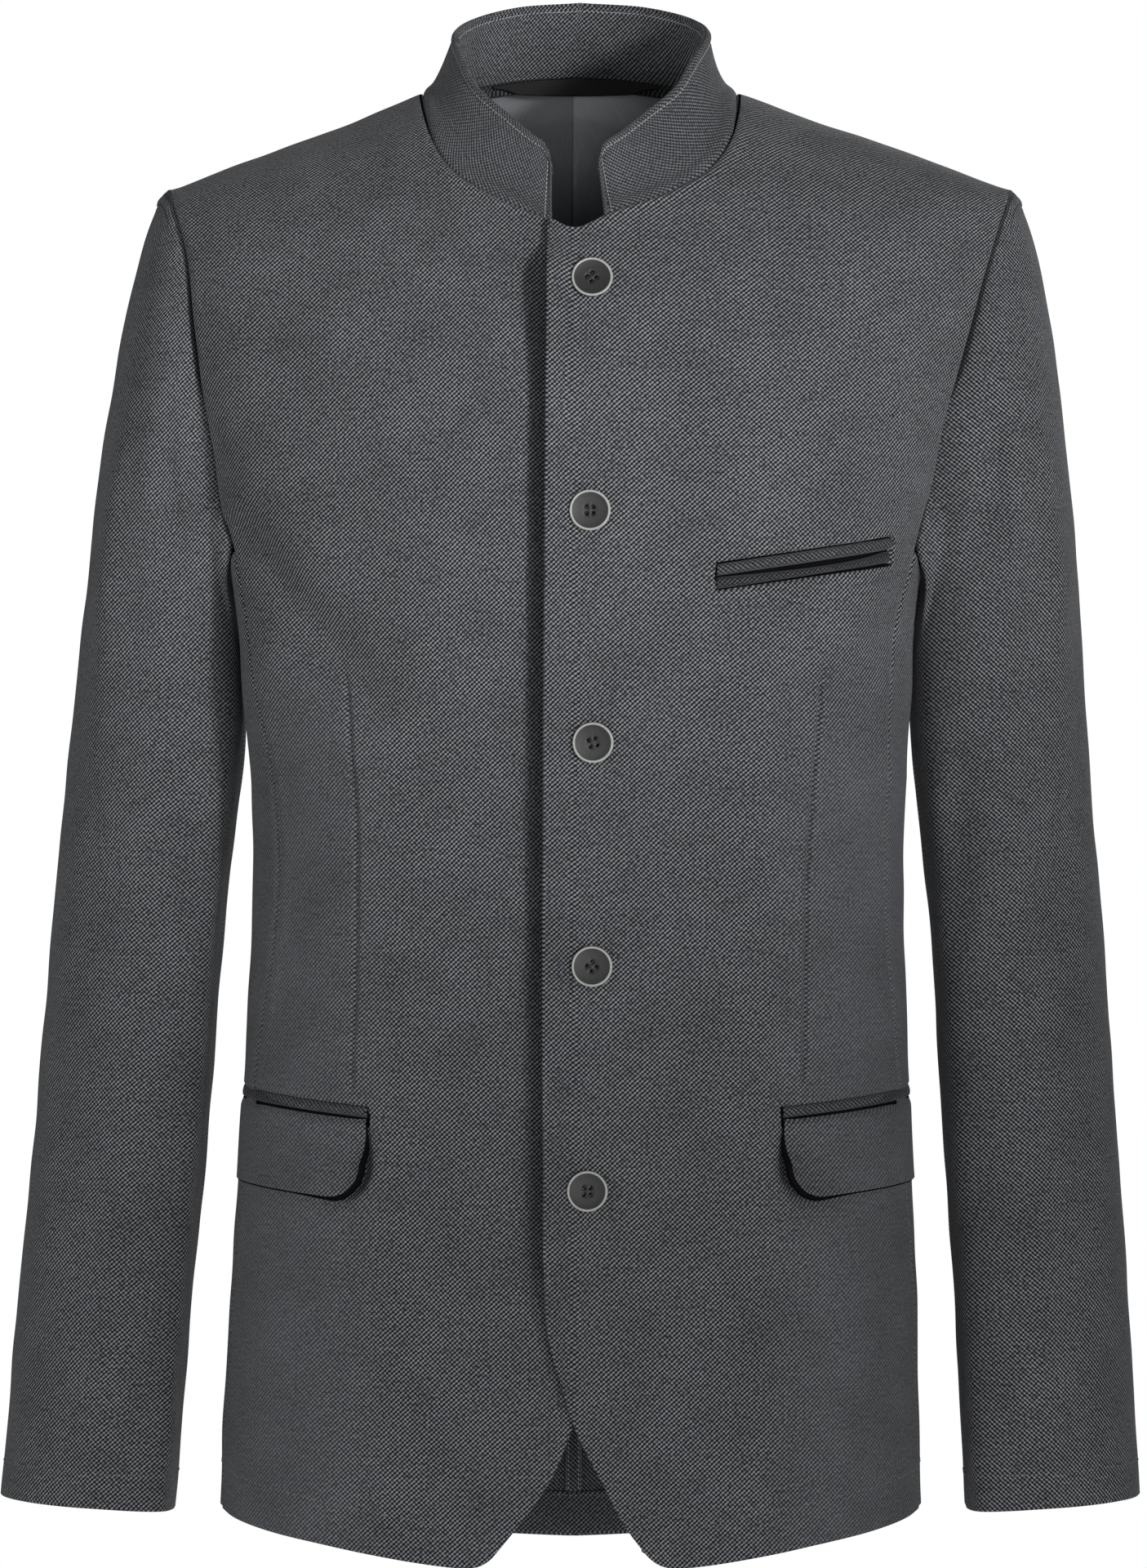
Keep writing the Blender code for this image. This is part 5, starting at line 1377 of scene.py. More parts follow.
def add_fronts(look, pocketing_and_shade_look, thread):
    """The two fronts with their hem and side seam stitches."""
    for (side, word), edge in zip(SIDES, ("over", "under")):
        turn, level, neck_start = front_grid(edge, NECK_CORNERS[side])
        base = skin(turn, level)
        seen = stance(mirrored(base, side))
        lift = dart(side, seen[..., 0], seen[..., 2]) - pocket_sink(turn, level)
        if side > 0:
            lift += lap_lift(base) - chest_hollow(base)
        else:
            lift -= lap_trough(base)
        points, out = body_cloth(turn, level, side, lift)
        at_neck = ramp(np.arange(len(base)) - neck_start, *NECK_DIP_ROWS)
        at_neck = at_neck * (1 - ramp(base[:, 0, 2], *NECK_DIP_FADE))
        at_neck = NECK_DIP * at_neck[:, None]
        points += out * seam_roll(points, high=1.0, start=at_neck, end=1.0)[..., None]
        # Dark pocket cloth goes round the pockets, partly their insides and partly painted shade, and along
        # the neck seam as painted shade
        patch = hip_pocket_and_shade_cells(turn, level)
        patch[neck_start:, :NECK_SHADE_CELLS] |= base[neck_start:-1, :1, 0] > NECK_SHADE_START[word]
        if side > 0:
            patch |= chest_pocket_and_shade_cells(base)
        add_shell("front_" + word, side, points, out, CLOTH, cloth_place(turn, level, side), look,
                  second_look=pocketing_and_shade_look, patch=patch)
        line, outward = line_from_edge(points, out, HEM_STITCH_RISE)
        beside = line[:, 0] > HEM_STITCH_START
        rows = [stitches(line[beside], outward[beside], PICK_STITCH, side)]
        below = base[:, -1, 2] < SIDE_STITCH_TOP
        seam = (grid[below, ::-1].swapaxes(0, 1) for grid in (points, out))
        rows.append(stitches(*line_from_edge(*seam, SIDE_STITCH_INSET), SEAM_STITCH, side))
        add_stitches("front_%s_stitches" % word, rows, thread)


def add_panels(part, turn, level, lift, look, second_look, patch, thread):
    """A panel on each side with its hem stitches."""
    for side, word in SIDES:
        points, out = body_cloth(turn, level, side, lift)
        points += out * seam_roll(points, high=1.0, start=1.0, end=1.0)[..., None]
        name = "%s_%s" % (part, word)
        add_shell(name, side, points, out, CLOTH, cloth_place(turn, level, side), look,
                  second_look=second_look, patch=patch)
        add_edge_stitches(name + "_stitches", side, points, out, HEM_STITCH_RISE, thread)


def sleeve_shade_cells(turn, distance):
    """Cells of a sleeve given painted shade, along the armhole seam and in the groove beside its roped head.
    """
    away = cell_middle(distance)
    groove = np.abs(away - ROPE_GROOVE_PLACE) < ROPE_SHADE_BAND
    at = cell_middle(turn)
    return (away < SLEEVE_SHADE_BAND) | (groove & (at > ROPE_SHADE_START) & (at < ROPE_SHADE_END))


def add_sleeves(look, painted_shade_look, thread):
    """Upper and under sleeves, with the soft roll at their heads and the stitches above their cuffs."""
    head = finer(steps_along(HEAD_LENGTH, ROW_STEP, fine_end=False), 0.0, ROPE_ROWS / HEAD_LENGTH,
                 ROPE_STEP / HEAD_LENGTH)
    below = 1.0 + steps_along(TUBE_LENGTH, SLEEVE_ROW_STEP, fine_start=False)[1:]
    runs = np.concatenate([head, below])
    front, back = SLEEVE_SEAMS
    for side, word in SIDES:
        for part, first, last in (("upper", back - 360.0, front), ("under", front, back)):
            width = SLEEVE_RADIUS * math.radians(last - first)
            turn, run = np.meshgrid(first + (last - first) * steps_along(width, SLEEVE_COLUMN_STEP), runs)
            points, out = sleeve_cloth(turn, run, side)
            distance = run_along(points, 0)
            from_top = np.abs(turn)
            rope = ROPE_HEIGHT * hump(distance, ROPE_WIDTH, ROPE_PLACE)
            rope -= ROPE_GROOVE * hump(distance, ROPE_GROOVE_WIDTH, ROPE_GROOVE_PLACE)
            rope *= 1 - ramp(from_top, *ROPE_SPAN)
            ahead = unit(np.gradient(points, axis=0))
            sink = SLEEVE_SINK * np.exp(-distance / SLEEVE_SINK_REACH) * ramp(from_top, *SLEEVE_SINK_START)
            sink *= 1 - ramp(from_top, *SLEEVE_SINK_END)
            points += out * (rope - sink + seam_roll(points, low=1.0, start=1.0, end=1.0))[..., None]
            tuck = SLEEVE_TUCK * np.exp(-distance / SLEEVE_TUCK_REACH)
            at_armpit = -((turn - ARMPIT_TURN) / ARMPIT_SPAN) ** 2
            tuck += ARMPIT_TUCK * np.exp(at_armpit - distance / ARMPIT_TUCK_REACH)
            points -= ahead * tuck[..., None]
            places = sleeve_place(turn, points, distance[-1:] - distance)
            name = "sleeve_%s_%s" % (part, word)
            # The armhole seam and the groove beside the rope get painted shade in a dark copy of the knit
            add_shell(name, side, points, out, CLOTH, places, look,
                      second_look=painted_shade_look, patch=sleeve_shade_cells(turn, distance))
            add_edge_stitches(name + "_stitches", side, points[::-1], out[::-1], CUFF_STITCH_RISE, thread)


def add_collar(outer_look, inner_look, painted_shade_look, thread):
    """The outer and the inner collar, each one piece from front to front, stitched along their edge."""
    heights = steps_along(COLLAR_HEIGHT, COLUMN_STEP)
    grid, out = collar_grid(heights)
    up = run_along(grid, 1)
    over = run_along(grid, 0)[:, len(heights) // 3]
    from_edge = np.minimum(up[:, -1:] - up, np.minimum(over, over[-1] - over)[:, None])
    roll = COLLAR_ROLL * np.sin(np.pi * np.clip(from_edge / TOP_STITCH_INSET, 0.0, 1.0))
    roll -= COLLAR_GROOVE * hump(from_edge, COLLAR_GROOVE_WIDTH, TOP_STITCH_INSET)
    grid += out * (roll + seam_roll(grid, start=NECK_DIP))[..., None]
    places = np.stack([over[:, None] + 0 * up, up], axis=-1) * MM
    # Painted shade in a dark copy of the knit along the outer collar's neck seam and over the inner collar's
    # foot
    foot = cell_middle(up) < COLLAR_SHADE_FOOT
    seam = np.zeros(foot.shape, bool)
    seam[:, 0] = True
    inner = grid - out * (COLLAR_CLOTH - COLLAR_OVERLAP)
    for word, points, look, patch in (("outer", grid, outer_look, seam), ("inner", inner, inner_look, foot)):
        add_shell("collar_" + word, 1, points, out, COLLAR_CLOTH, places, look,
                  second_look=painted_shade_look, patch=patch, patch_inside=word == "inner")
    rows = []
    inside = grid - out * (2 * COLLAR_CLOTH - COLLAR_OVERLAP)
    for surface, outward in ((grid, out), (inside, -out)):
        first = int(np.argmax(run_along(surface, 0)[:, 0] > TOP_STITCH_INSET))
        last = len(surface) - first
        edge = (values[first:last, ::-1].swapaxes(0, 1) for values in (surface, outward))
        top, top_out = line_from_edge(*edge, TOP_STITCH_INSET)
        rows.append(stitches(top, top_out, TOP_STITCH))
        for at, tip in ((first, top[0]), (last - 1, top[-1])):
            below = surface[at, :, 2] < tip[2]
            rows.append(stitches(surface[at][below], outward[at][below], TOP_STITCH))
    add_stitches("collar_stitches", rows, thread)


# The pockets, the inside of the back, and the buttons


def rounded_depth(distance, length, depth, radius):
    """Depth of a strip with rounded lower corners, at a distance along it."""
    near = np.minimum(distance, length - distance)
    inside = np.clip(radius - near, 0.0, radius)
    return depth - radius + np.sqrt(radius ** 2 - inside ** 2)


def jet_form(rise):
    """Height of a jet across its width: rolled under at both edges."""
    return JET_LOW + JET_SWELL * np.sin(np.pi * np.clip(rise, 0.0, 1.0)) ** JET_ROUND


def shade_spread(points, out, amount, drop):
    """Shifts that spread the front and the lower edge of a grid outwards by an amount, and sink them, as for
    the flap's dark underside of painted shade.
    """
    shifts = np.zeros(points.shape)
    below = np.cross(np.gradient(points[-1], axis=0), out[-1])
    middle = points.mean(axis=(0, 1))
    below *= np.sign(np.sum(below * (points[-1] - middle), axis=-1, keepdims=True))
    ahead = np.cross(np.gradient(points[:, 0], axis=0), out[:, 0])
    ahead *= np.sign(np.sum(ahead * (points[:, 0] - middle), axis=-1, keepdims=True))
    shifts[-1] = unit(below)
    shifts[:, 0] = unit(ahead)
    shifts[-1, 0] = unit(unit(below)[0] + unit(ahead)[-1])
    return (shifts - out * drop) * amount[..., None]


def add_hip_pocket(side, word, look, shaded_jet_look, deep_shade_look, pocketing_and_shade_look):
    """A flap whose front corner stands off, with the jet above it, and the flap's dark underside showing past
    that corner as painted shade.
    """
    start_turn, _ = body_place("front", FLAP_START, FLAP_TOP)
    shares = steps_along(FLAP_LENGTH, COLUMN_STEP)
    turns = start_turn + (FLAP_END_TURN - start_turn) * shares
    _, tops = pocket_top(turns)
    distance = run_along(skin(turns, tops), 0)
    depths = rounded_depth(distance, distance[-1], FLAP_DEPTH, FLAP_CORNER)
    down = steps_along(FLAP_DEPTH, COLUMN_STEP)[:, None]
    turn = turns[None, :] - FLAP_BOW * np.sin(np.pi * down) * np.exp(-distance / FLAP_BOW_REACH)
    level = tops[None, :] - FLAP_GAP - (depths[None, :] - FLAP_GAP) * down
    stand = FLAP_STAND[word] * down ** 2 * (1 - FLAP_REST * ramp(shares, FLAP_REST_START, 1.0))
    stand = stand + FLAP_CORNER_LIFT * down ** 2 * np.exp(-distance / FLAP_CORNER_REACH)
    flush = ramp(shares, *JET_FLUSH_SHARES)
    stand = stand - FLAP_TUCK * (1 - FLAP_FLUSH * flush) * hump(FLAP_DEPTH * down, FLAP_TUCK_REACH)
    points, out = body_cloth(turn, level, side, LAY_GAP + FLAP_CLOTH - POCKET_SINK + stand)
    # The flap's dark underside shows past its lifted front corner as painted shade
    shade_peek = FLAP_SHADE_PEEK * ramp(down, *FLAP_SHADE_PEEK_DOWN) * (1 - ramp(distance, *FLAP_SHADE_PEEK_ALONG))
    add_shell("flap_" + word, side, points, out, FLAP_CLOTH, cloth_place(turn, level, side), look,
              second_look=pocketing_and_shade_look,
              spread=shade_spread(points, out, shade_peek, FLAP_SHADE_PEEK_DROP))
    rise = np.array(JET_SHARES)[:, None]
    turn = np.repeat(turns[None, :], len(rise), axis=0)
    level = tops[None, :] + FLAP_GAP + (JET_WIDTH - FLAP_GAP) * rise
    points, out = body_cloth(turn, level, side, jet_form(rise) * (1 - flush) + JET_FLUSH * flush)
    shade = cell_middle(rise + 0 * turn) < ramp(cell_middle(shares + 0 * turn), *JET_SHADE_SHARES)
    add_shell("jet_" + word, side, points, out, CLOTH, grid_place(points, side), shaded_jet_look,
              second_look=deep_shade_look, patch=shade)


def add_chest_pocket(looks):
    """Two jets, one each side of a slanting slit that sags a little, both in darker copies of the knit as
    painted shade, the lower one darker.
    """
    shares = steps_along(CHEST_END[0] - CHEST_START[0], COLUMN_STEP)
    x = CHEST_START[0] + (CHEST_END[0] - CHEST_START[0]) * shares
    _, slit = chest_slit(x)
    rise = np.array(JET_SHARES)[:, None]
    sag = CHEST_SAG * np.sin(np.pi * shares ** CHEST_SAG_PLACE) ** CHEST_SAG_BEND
    for (word, direction, drop, at_slit, at_seam), look in zip(CHEST_JETS, looks):
        near = slit + direction * CHEST_SLIT - drop * sag
        far = slit + direction * (CHEST_SLIT + JET_WIDTH)
        turn, level = body_place("front", x + 0 * rise, near + (far - near) * rise)
        lift = jet_form(rise) + at_slit + (at_seam - at_slit) * rise - JET_ROLL * (1 - rise) ** JET_ROLL_BEND
        points, out = body_cloth(turn, level, 1, lift + 0 * turn)
        add_shell("chest_jet_" + word, 1, points, out, CLOTH, grid_place(points), look)


def add_lining(looks):
    """The upper back's lining in two halves, the left one pleated."""
    turn, level = back_grid()
    kept = level[:, -1] > LINING_BOTTOM
    turn, level = (grid[kept][:-LINING_SKIP, LINING_SKIP:] for grid in (turn, level))
    out = skin_facing(turn, level)
    below_neck = np.where(turn[:, -1] > MIDDLE_TURN, 1 - ramp(level[:, -1], *PLEAT_SPAN), 0.0)
    base = skin(turn, level)
    to_middle = run_along(base[:, ::-1], 1)[:, ::-1]
    hang = ramp(LINING_HANG_TOP - level, 0.0, LINING_HANG_TOP - LINING_HANG_FULL)
    hang *= ramp(level, *LINING_HANG_SPAN)
    for (side, word), pleat, look in zip(SIDES, PLEAT_HEIGHTS, looks):
        depth = CLOTH + LINING_GAP + pleat * below_neck[:, None] * hump(to_middle, PLEAT_REACH)
        drape = body_creases(base, 0.0, side) - depth - LINING_HANG * hang
        add_shell("lining_" + word, side, base + out * drape[..., None], out, LINING_CLOTH,
                  cloth_place(turn, level, side), look)


def add_tape(look):
    """The tape that hangs from the foot of the inner collar, with slanting ends."""
    grid, out = collar_grid(np.array([0.0, 1.0]) * TAPE_RISE / COLLAR_HEIGHT)
    line = (grid - out * (2 * COLLAR_CLOTH + TAPE_GAP))[:, 1]
    run = run_along(line, 0)
    middle = run[len(line) // 2]
    places = middle + TAPE_HALF * (2 * steps_along(2 * TAPE_HALF, COLUMN_STEP) - 1)
    top = read_line(line, run, places)
    ends = np.clip((np.abs(places - middle) - TAPE_FLAT) / (TAPE_HALF - TAPE_FLAT), 0.0, 1.0)
    foot = TAPE_FOOT + (top[:, 2] - TAPE_END - TAPE_FOOT) * ends
    drop = np.array(JET_SHARES)[:, None]
    outer = np.repeat(top[None], len(drop), axis=0)
    outer[..., 2] += (foot - top[:, 2]) * drop
    outward = np.cross(np.gradient(top, axis=0), np.array([0.0, 0.0, 1.0]))
    outward = unit(outward * np.sign(outward[len(top) // 2, 1]))
    add_shell("neck_tape", 1, outer, np.repeat(outward[None], len(drop), axis=0), LINING_CLOTH,
              grid_place(outer), look)


def add_back_inside(look, thread):
    """The back's hem turned up inside, and the strip of seam cloth up its middle with its thread."""
    first = seam_turn("back", hem(seam_turn("back", SEAM_FEET["back"]))) + TURN_UP_START
    turns = first + (180.0 - first) * steps_along(BACK_WIDTH, BACK_COLUMN_STEP, fine_end=False)
    rise = TURN_UP_FOOT + (TURN_UP - TURN_UP_FOOT) * steps_along(TURN_UP, COLUMN_STEP)[:, None]
    turn = np.repeat(turns[None, :], len(rise), axis=0)
    level = hem(turns)[None, :] + rise
    halves = []
    for side in (1, -1):
        points, out = body_cloth(turn, level, side)
        halves.append((mirrored(points - out * (CLOTH + LAY_GAP), side), mirrored(out, side)))
    grid, out = (np.concatenate([left, right[:, -2::-1]], axis=1) for left, right in zip(*halves))
    add_shell("back_hem", 1, grid, out, LINING_CLOTH, grid_place(grid), look)
    inside = grid - out * LINING_CLOTH
    rows = [stitches(*line_from_edge(inside[::-1], -out[::-1], TURN_UP_STITCH_INSET), SEAM_STITCH)]
    foot = hem(180.0) + TURN_UP + TURN_UP_FOOT
    over = np.array(STRIP_SHARES)[None, :]
    level = (foot + (STRIP_TOP - foot) * steps_along(STRIP_TOP - foot, ROW_STEP))[:, None] + 0 * over
    points, out = body_cloth(np.full(level.shape, 180.0), level, 1)
    points -= out * (CLOTH + LINING_GAP)
    points[..., 0] = STRIP_HALF * over
    add_shell("seam_strip", 1, points, out, LINING_CLOTH, grid_place(points), look)
    inside = points - out * LINING_CLOTH
    for k, lean in ((0, OVERLOCK_LEAN), (-1, -OVERLOCK_LEAN)):
        rows.append(stitches(inside[:, k], -out[:, k], OVERLOCK_STITCH, lean=lean))
        rows.append(stitches(inside[:, k] * np.array([STRIP_STITCH_PLACE, 1.0, 1.0]), -out[:, k], TOP_STITCH))
    add_stitches("back_inside_stitches", rows, thread)


def circle(radius, z, steps, centre=(0.0, 0.0)):
    turn = 2 * np.pi * np.arange(steps) / steps
    return [(centre[0] + radius * math.cos(t), centre[1] + radius * math.sin(t), z) for t in turn]


def button_mesh():
    """Points, faces and face materials of a button with four holes: 0 is its face and 1 its rim."""
    made = bmesh.new()
    centres = [(a * BUTTON_HOLE_OUT * math.sqrt(0.5), b * BUTTON_HOLE_OUT * math.sqrt(0.5))
               for a in (-1, 1) for b in (-1, 1)]

    def ring(points):
        corners = [made.verts.new(p) for p in points]
        return corners, [made.edges.new((a, b)) for a, b in zip(corners, corners[1:] + corners[:1])]

    def bridge(first, second, look):
        for k in range(len(first)):
            n = (k + 1) % len(first)
            made.faces.new((first[k], first[n], second[n], second[k])).material_index = look

    rings = [ring(circle(radius, z, BUTTON_STEPS)) for _, radius, z in BUTTON_PROFILE]
    for (look, _, _), (first, _), (second, _) in zip(BUTTON_PROFILE, rings, rings[1:]):
        bridge(first, second, look)
    top, bottom = list(rings[0][1]), list(rings[-1][1])
    for centre in centres:
        levels = [ring(circle(BUTTON_HOLE_RADIUS + widen, z, HOLE_STEPS, centre)) for widen, z in BUTTON_HOLE]
        for (first, _), (second, _) in zip(levels, levels[1:]):
            bridge(first, second, 0)
        top += levels[0][1]
        bottom += levels[-1][1]
    bmesh.ops.triangle_fill(made, use_beauty=True, use_dissolve=False, edges=top)
    bmesh.ops.triangle_fill(made, use_beauty=True, use_dissolve=False, edges=bottom)
    bmesh.ops.recalc_face_normals(made, faces=made.faces)
    made.verts.index_update()
    points = np.array([v.co for v in made.verts])
    faces = [[v.index for v in face.verts] for face in made.faces]
    looks = [face.material_index for face in made.faces]
    made.free()
    return points, faces, looks


def add_buttons(face_look, rim_look):
    """The buttons, each seated on the left front and turned as it is sewn."""
    shape, faces, looks = button_mesh()
    for number, (x, z, quarter_turn) in enumerate(BUTTONS, start=1):
        turn, level = (np.array([value]) for value in body_place("front", x, z))
        points, out = body_cloth(turn, level, 1, lap_lift(skin(turn, level)))
        out = out[0]
        flat = unit(np.cross(np.array([0.0, 0.0, 1.0]), out))
        upward = np.cross(out, flat)
        spin = math.radians(quarter_turn)
        first_way = flat * math.cos(spin) + upward * math.sin(spin)
        second_way = np.cross(out, first_way)
        seat = points[0] + out * LAY_GAP
        places = seat + first_way * shape[:, :1] + second_way * shape[:, 1:2] + out * shape[:, 2:]
        add_mesh("button_%d_disc" % number, places, faces, shape[:, :2] * MM, [face_look, rim_look],
                 ("button_%d" % number,), looks)


# Materials


def add_node(tree, kind, inputs=None, **settings):
    """A shader node with its settings, and its inputs as values or links."""
    made = tree.nodes.new("ShaderNode" + kind)
    for key, value in settings.items():
        setattr(made, key, value)
    for key, value in (inputs or {}).items():
        if isinstance(value, bpy.types.NodeSocket):
            tree.links.new(value, made.inputs[key])
        else:
            made.inputs[key].default_value = value
    return made


def add_math(tree, operation, *values):
    return add_node(tree, "Math", dict(enumerate(values)), operation=operation).outputs[0]


def add_vector_math(tree, operation, *values):
    return add_node(tree, "VectorMath", dict(enumerate(values)), operation=operation).outputs


def add_scaling(tree, colour, strength):
    return add_node(tree, "VectorMath", {0: colour, "Scale": strength}, operation="SCALE").outputs["Vector"]


def add_range(tree, value, low, high, to_low, to_high):
    ends = {"Value": value, "From Min": low, "From Max": high, "To Min": to_low, "To Max": to_high}
    return add_node(tree, "MapRange", ends).outputs[0]


def add_noise(tree, vector, scale, detail):
    return add_node(tree, "TexNoise", {"Vector": vector, "Scale": scale, "Detail": detail}).outputs


def cloth_uv(tree):
    return add_node(tree, "UVMap", uv_map="cloth").outputs["UV"]


def material(name, sockets):
    """A material, with the shader's own values set from names."""
    made = bpy.data.materials.new(name)
    made.use_nodes = True
    shader = made.node_tree.nodes["Principled BSDF"]
    for key, value in sockets.items():
        shader.inputs[key].default_value = value
    return made, made.node_tree, shader


def ramp_node(tree, value, stops):
    """A colour ramp over a value, from pairs of places and colours."""
    made = add_node(tree, "ValToRGB", {"Fac": value})
    elements = made.color_ramp.elements
    while len(elements) < len(stops):
        elements.new(0.5)
    for element, (place, colour) in zip(elements, stops):
        element.position = place
        element.color = (*colour, 1.0)
    return made.outputs["Color"]


def finish_material(tree, shader, colour, height, relief):
    """The shader's colour, and its relief from a height by a strength and a distance."""
    bump = add_node(tree, "Bump", {"Height": height, "Strength": relief[0], "Distance": relief[1]})
    tree.links.new(colour, shader.inputs["Base Color"])
    tree.links.new(bump.outputs["Normal"], shader.inputs["Normal"])


def knit_material(name, stops, calm=None, calm_top=None):
    """Knitted cloth: light dots where two waves cross, with uneven yarn, soft patches and faint streaks.

    Between two distances across the cloth the dots can grow calmer, up to a height along it.
    """
    made, tree, shader = material(name, KNIT_FINISH)
    place = cloth_uv(tree)
    wobble = add_noise(tree, place, *WOBBLE_NOISE)["Color"]
    moved = add_vector_math(tree, "MULTIPLY_ADD", wobble, (KNIT_WOBBLE,) * 3, place)["Vector"]
    dots = 0.0
    for angle, spacing, strength in KNIT_WAVES:
        turns = 2 * math.pi / (spacing * MM)
        way = (-math.sin(math.radians(angle)) * turns, math.cos(math.radians(angle)) * turns, 0.0)
        along = add_vector_math(tree, "DOT_PRODUCT", moved, way)["Value"]
        dots = add_math(tree, "MULTIPLY_ADD", add_math(tree, "COSINE", along), strength / 2, dots)
    patches = add_math(tree, "ADD", *(add_noise(tree, place, *noise)["Fac"] for noise in PATCH_NOISES))
    patches = add_range(tree, patches, *PATCH_RANGE, *KNIT_PATCH)
    yarn = add_noise(tree, place, *YARN_NOISE)["Fac"]
    uneven = add_math(tree, "MULTIPLY_ADD", yarn, KNIT_UNEVEN, 0.5 - KNIT_UNEVEN / 2)
    height = add_math(tree, "MULTIPLY_ADD", dots, patches, uneven)
    colour = ramp_node(tree, height, stops)
    if calm is not None:
        parts = add_node(tree, "SeparateXYZ", {0: place}).outputs
        from_middle = add_math(tree, "ABSOLUTE", parts["X"])
        share = add_range(tree, from_middle, calm[0] * MM, calm[1] * MM, 0.0, KNIT_CALM)
        below = add_range(tree, parts["Y"], calm_top[0] * MM, calm_top[1] * MM, 1.0, 0.0)
        plain = ramp_node(tree, yarn, KNIT_PLAIN)
        share = add_math(tree, "MULTIPLY", share, below)
        mix = add_node(tree, "Mix", {"Factor": share, 6: colour, 7: plain}, data_type="RGBA")
        colour = mix.outputs[2]
    stretched = add_vector_math(tree, "MULTIPLY", place, KNIT_STREAK)["Vector"]
    streak = add_noise(tree, stretched, *STREAK_NOISE)["Fac"]
    tone = add_math(tree, "ADD", streak, add_noise(tree, place, *TONE_NOISE)["Fac"])
    shaded = add_scaling(tree, colour, add_range(tree, tone, *TONE_RANGE, *KNIT_TONE))
    finish_material(tree, shader, shaded, height, KNIT_RELIEF)
    return made


def lining_material(name, top):
    """Smooth satin with faint upright streaks, with painted light that makes it paler towards the neck by a
    share.
    """
    made, tree, shader = material(name, LINING_FINISH)
    stretched = add_vector_math(tree, "MULTIPLY", cloth_uv(tree), LINING_STREAK)["Vector"]
    streak = add_noise(tree, stretched, *STREAK_NOISE)["Fac"]
    place = add_node(tree, "TexCoord").outputs["Object"]
    height = add_node(tree, "SeparateXYZ", {0: place}).outputs["Z"]
    tone = add_range(tree, height, LINING_PAINTED_LIGHT_SPAN[0] * MM, LINING_PAINTED_LIGHT_SPAN[1] * MM, LINING_PAINTED_SHADE_LOW, top)
    colour = add_scaling(tree, ramp_node(tree, streak, LINING_STOPS), tone)
    finish_material(tree, shader, colour, streak, LINING_RELIEF)
    return made


def tape_material():
    """Black woven tape with fine ribs."""
    made, tree, shader = material("woven_tape", TAPE_FINISH)
    wave = add_node(tree, "TexWave", {"Vector": cloth_uv(tree), **TAPE_RIBS}, bands_direction="Y")
    ribs = wave.outputs["Fac"]
    finish_material(tree, shader, ramp_node(tree, ribs, TAPE_STOPS), ribs, TAPE_RELIEF)
    return made


def speckled_material(name, stops, scale, sockets):
    """A finish with fine specks between its colours, as of moulded buttons and spun thread."""
    made, tree, shader = material(name, sockets)
    specks = add_noise(tree, add_node(tree, "TexCoord").outputs["Object"], scale, SPECK_DETAIL)["Fac"]
    finish_material(tree, shader, ramp_node(tree, specks, stops), specks, SPECK_RELIEF)
    return made


# Camera, lights, surround, and all pieces together


def add_light(name, place, aim, size, beam, power):
    """A large soft light that faces a place, with a soft beam or all round."""
    lamp = bpy.data.lights.new(name, "SPOT" if beam else "AREA")
    if beam:
        lamp.spot_size = math.radians(beam)
        lamp.spot_blend = 1.0
        lamp.shadow_soft_size = size / 2
    else:
        lamp.shape = "DISK"
        lamp.size = size
    lamp.energy = power
    made = bpy.data.objects.new(name, lamp)
    made.location = place
    made.rotation_euler = (Vector(aim) - Vector(place)).to_track_quat("-Z", "Y").to_euler()
    bpy.context.scene.collection.objects.link(made)


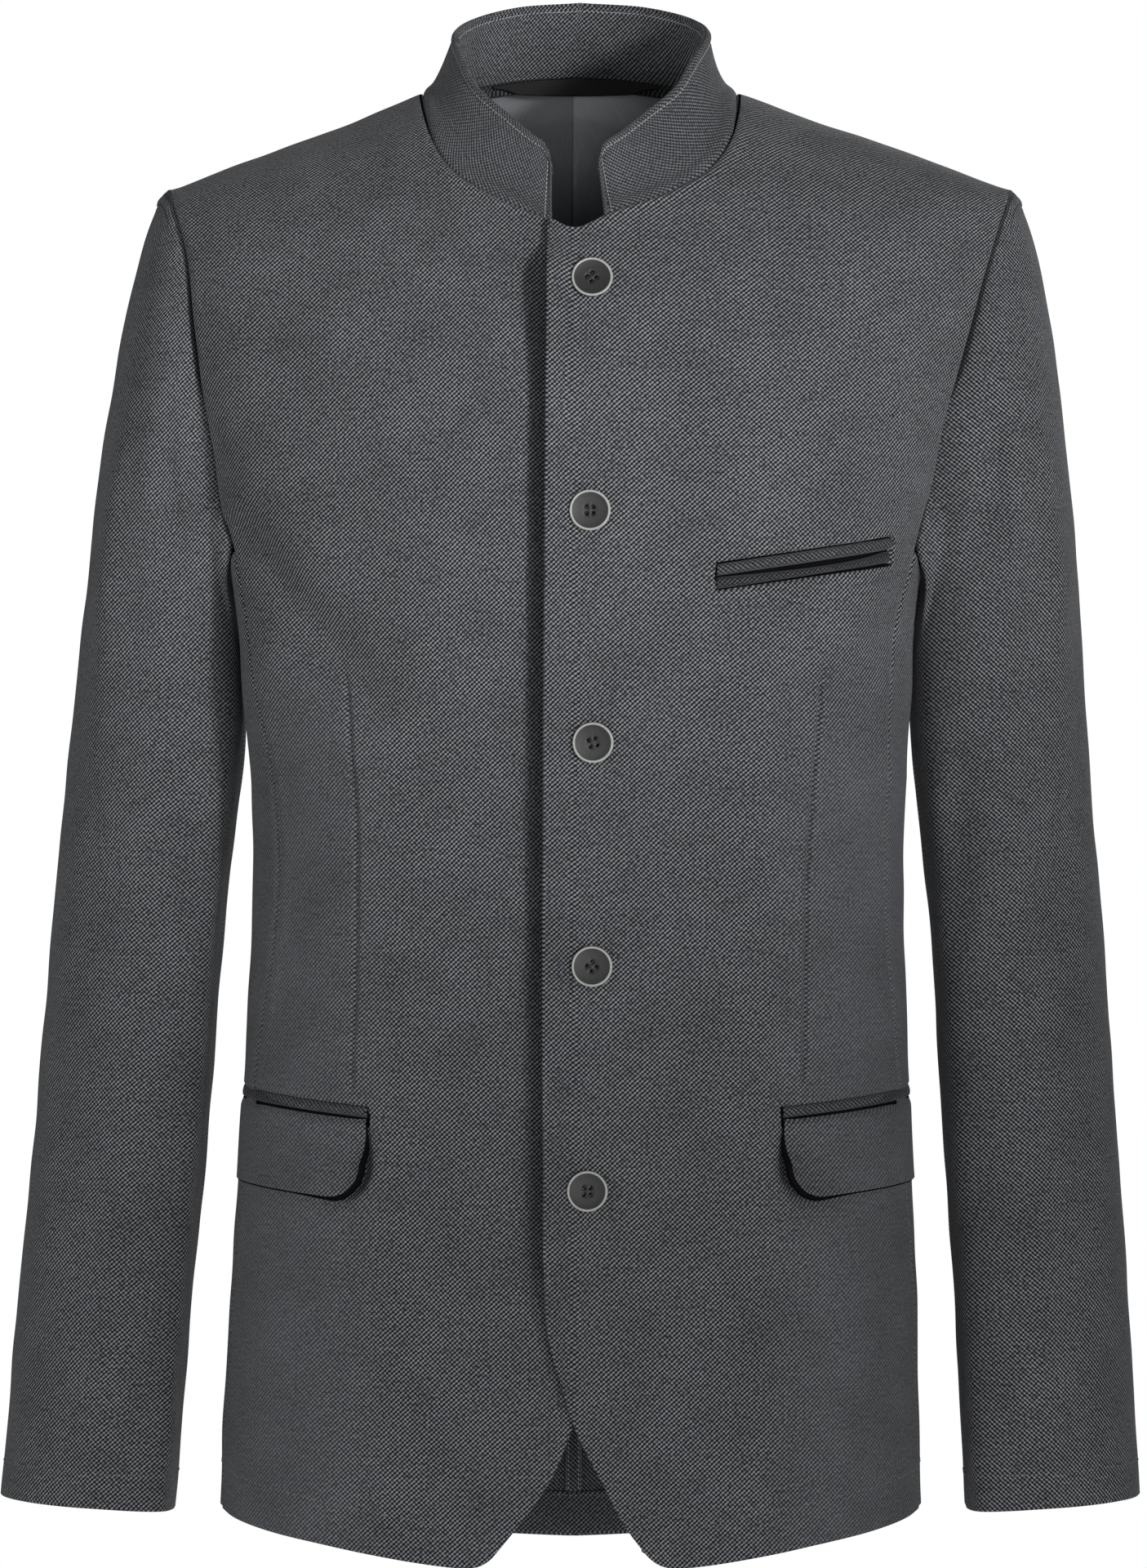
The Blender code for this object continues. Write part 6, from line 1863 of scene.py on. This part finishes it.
def add_stage():
    """The camera at the photograph's place, the lights, the white surround and the pale floor."""
    scene = bpy.context.scene
    lens = bpy.data.cameras.new("camera")
    lens.sensor_width = SENSOR
    lens.lens = SENSOR * CAMERA_DISTANCE / (PHOTO_HEIGHT * PIXEL)
    lens.clip_end = CAMERA_REACH
    camera = bpy.data.objects.new("camera", lens)
    camera.location = (0.0, -CAMERA_DISTANCE * MM, CAMERA_HEIGHT * MM)
    camera.rotation_euler = (math.radians(90.0), 0.0, 0.0)
    scene.collection.objects.link(camera)
    scene.camera = camera
    for light in LIGHTS:
        add_light(*light)
    world = bpy.data.worlds.new("surround")
    world.use_nodes = True
    tree = world.node_tree
    tree.nodes.clear()
    white = {"Color": (1.0, 1.0, 1.0, 1.0)}
    seen, around = (add_node(tree, "Background", {**white, "Strength": strength}).outputs[0]
                    for strength in (1.0, SURROUND_LIGHT))
    ray = add_node(tree, "LightPath").outputs["Is Camera Ray"]
    both = add_node(tree, "MixShader", {0: ray, 1: around, 2: seen})
    add_node(tree, "OutputWorld", {"Surface": both.outputs[0]})
    scene.world = world
    scene.view_settings.view_transform = "Standard"
    half, low = FLOOR_HALF * MM, FLOOR * MM
    mesh = bpy.data.meshes.new("floor")
    corners = [(x * half, y * half, low) for x, y in ((-1, -1), (1, -1), (1, 1), (-1, 1))]
    mesh.from_pydata(corners, [], [(0, 1, 2, 3)])
    pale, tree, shader = material("pale_floor", FLOOR_FINISH)
    grain = add_noise(tree, add_node(tree, "TexCoord").outputs["Object"], *FLOOR_NOISE)["Fac"]
    tree.links.new(ramp_node(tree, grain, FLOOR_STOPS), shader.inputs["Base Color"])
    mesh.materials.append(pale)
    floor = bpy.data.objects.new("floor", mesh)
    scene.collection.objects.link(floor)


def add_garment():
    """Every piece of the garment, with its materials."""
    body_knit, sleeve_knit, plain_knit, inside_knit, collar_knit, jet_knit, dark_jet_knit = (
        knit_material(*row) for row in KNITS)
    pocketing_and_shade, thread, top_thread, face, rim = (speckled_material(*row) for row in SPECKLED)
    add_fronts(body_knit, pocketing_and_shade, thread)
    turn, level = side_grid()
    sink = pocket_sink(turn, level)
    add_panels("side", turn, level, -sink, body_knit, pocketing_and_shade, hip_pocket_and_shade_cells(turn, level), thread)
    add_panels("back", *back_grid(), 0.0, plain_knit, inside_knit, None, thread)
    add_sleeves(sleeve_knit, dark_jet_knit, thread)
    add_collar(collar_knit, plain_knit, dark_jet_knit, top_thread)
    for side, word in SIDES:
        add_hip_pocket(side, word, body_knit, jet_knit, dark_jet_knit, pocketing_and_shade)
    add_chest_pocket((jet_knit, dark_jet_knit))
    # The two halves of the lining get paler and darker copies of the satin: painted light
    add_lining([lining_material("satin_" + word, top) for (_, word), top in zip(SIDES, LINING_PAINTED_LIGHT_TOPS)])
    add_tape(tape_material())
    add_back_inside(inside_knit, top_thread)
    add_buttons(face, rim)


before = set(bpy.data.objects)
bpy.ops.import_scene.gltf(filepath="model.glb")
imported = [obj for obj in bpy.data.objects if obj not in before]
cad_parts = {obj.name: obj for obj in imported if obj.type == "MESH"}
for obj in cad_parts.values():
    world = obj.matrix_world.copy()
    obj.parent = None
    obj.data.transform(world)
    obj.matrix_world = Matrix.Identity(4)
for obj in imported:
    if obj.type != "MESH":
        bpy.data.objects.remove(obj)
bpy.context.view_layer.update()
add_garment()
add_stage()
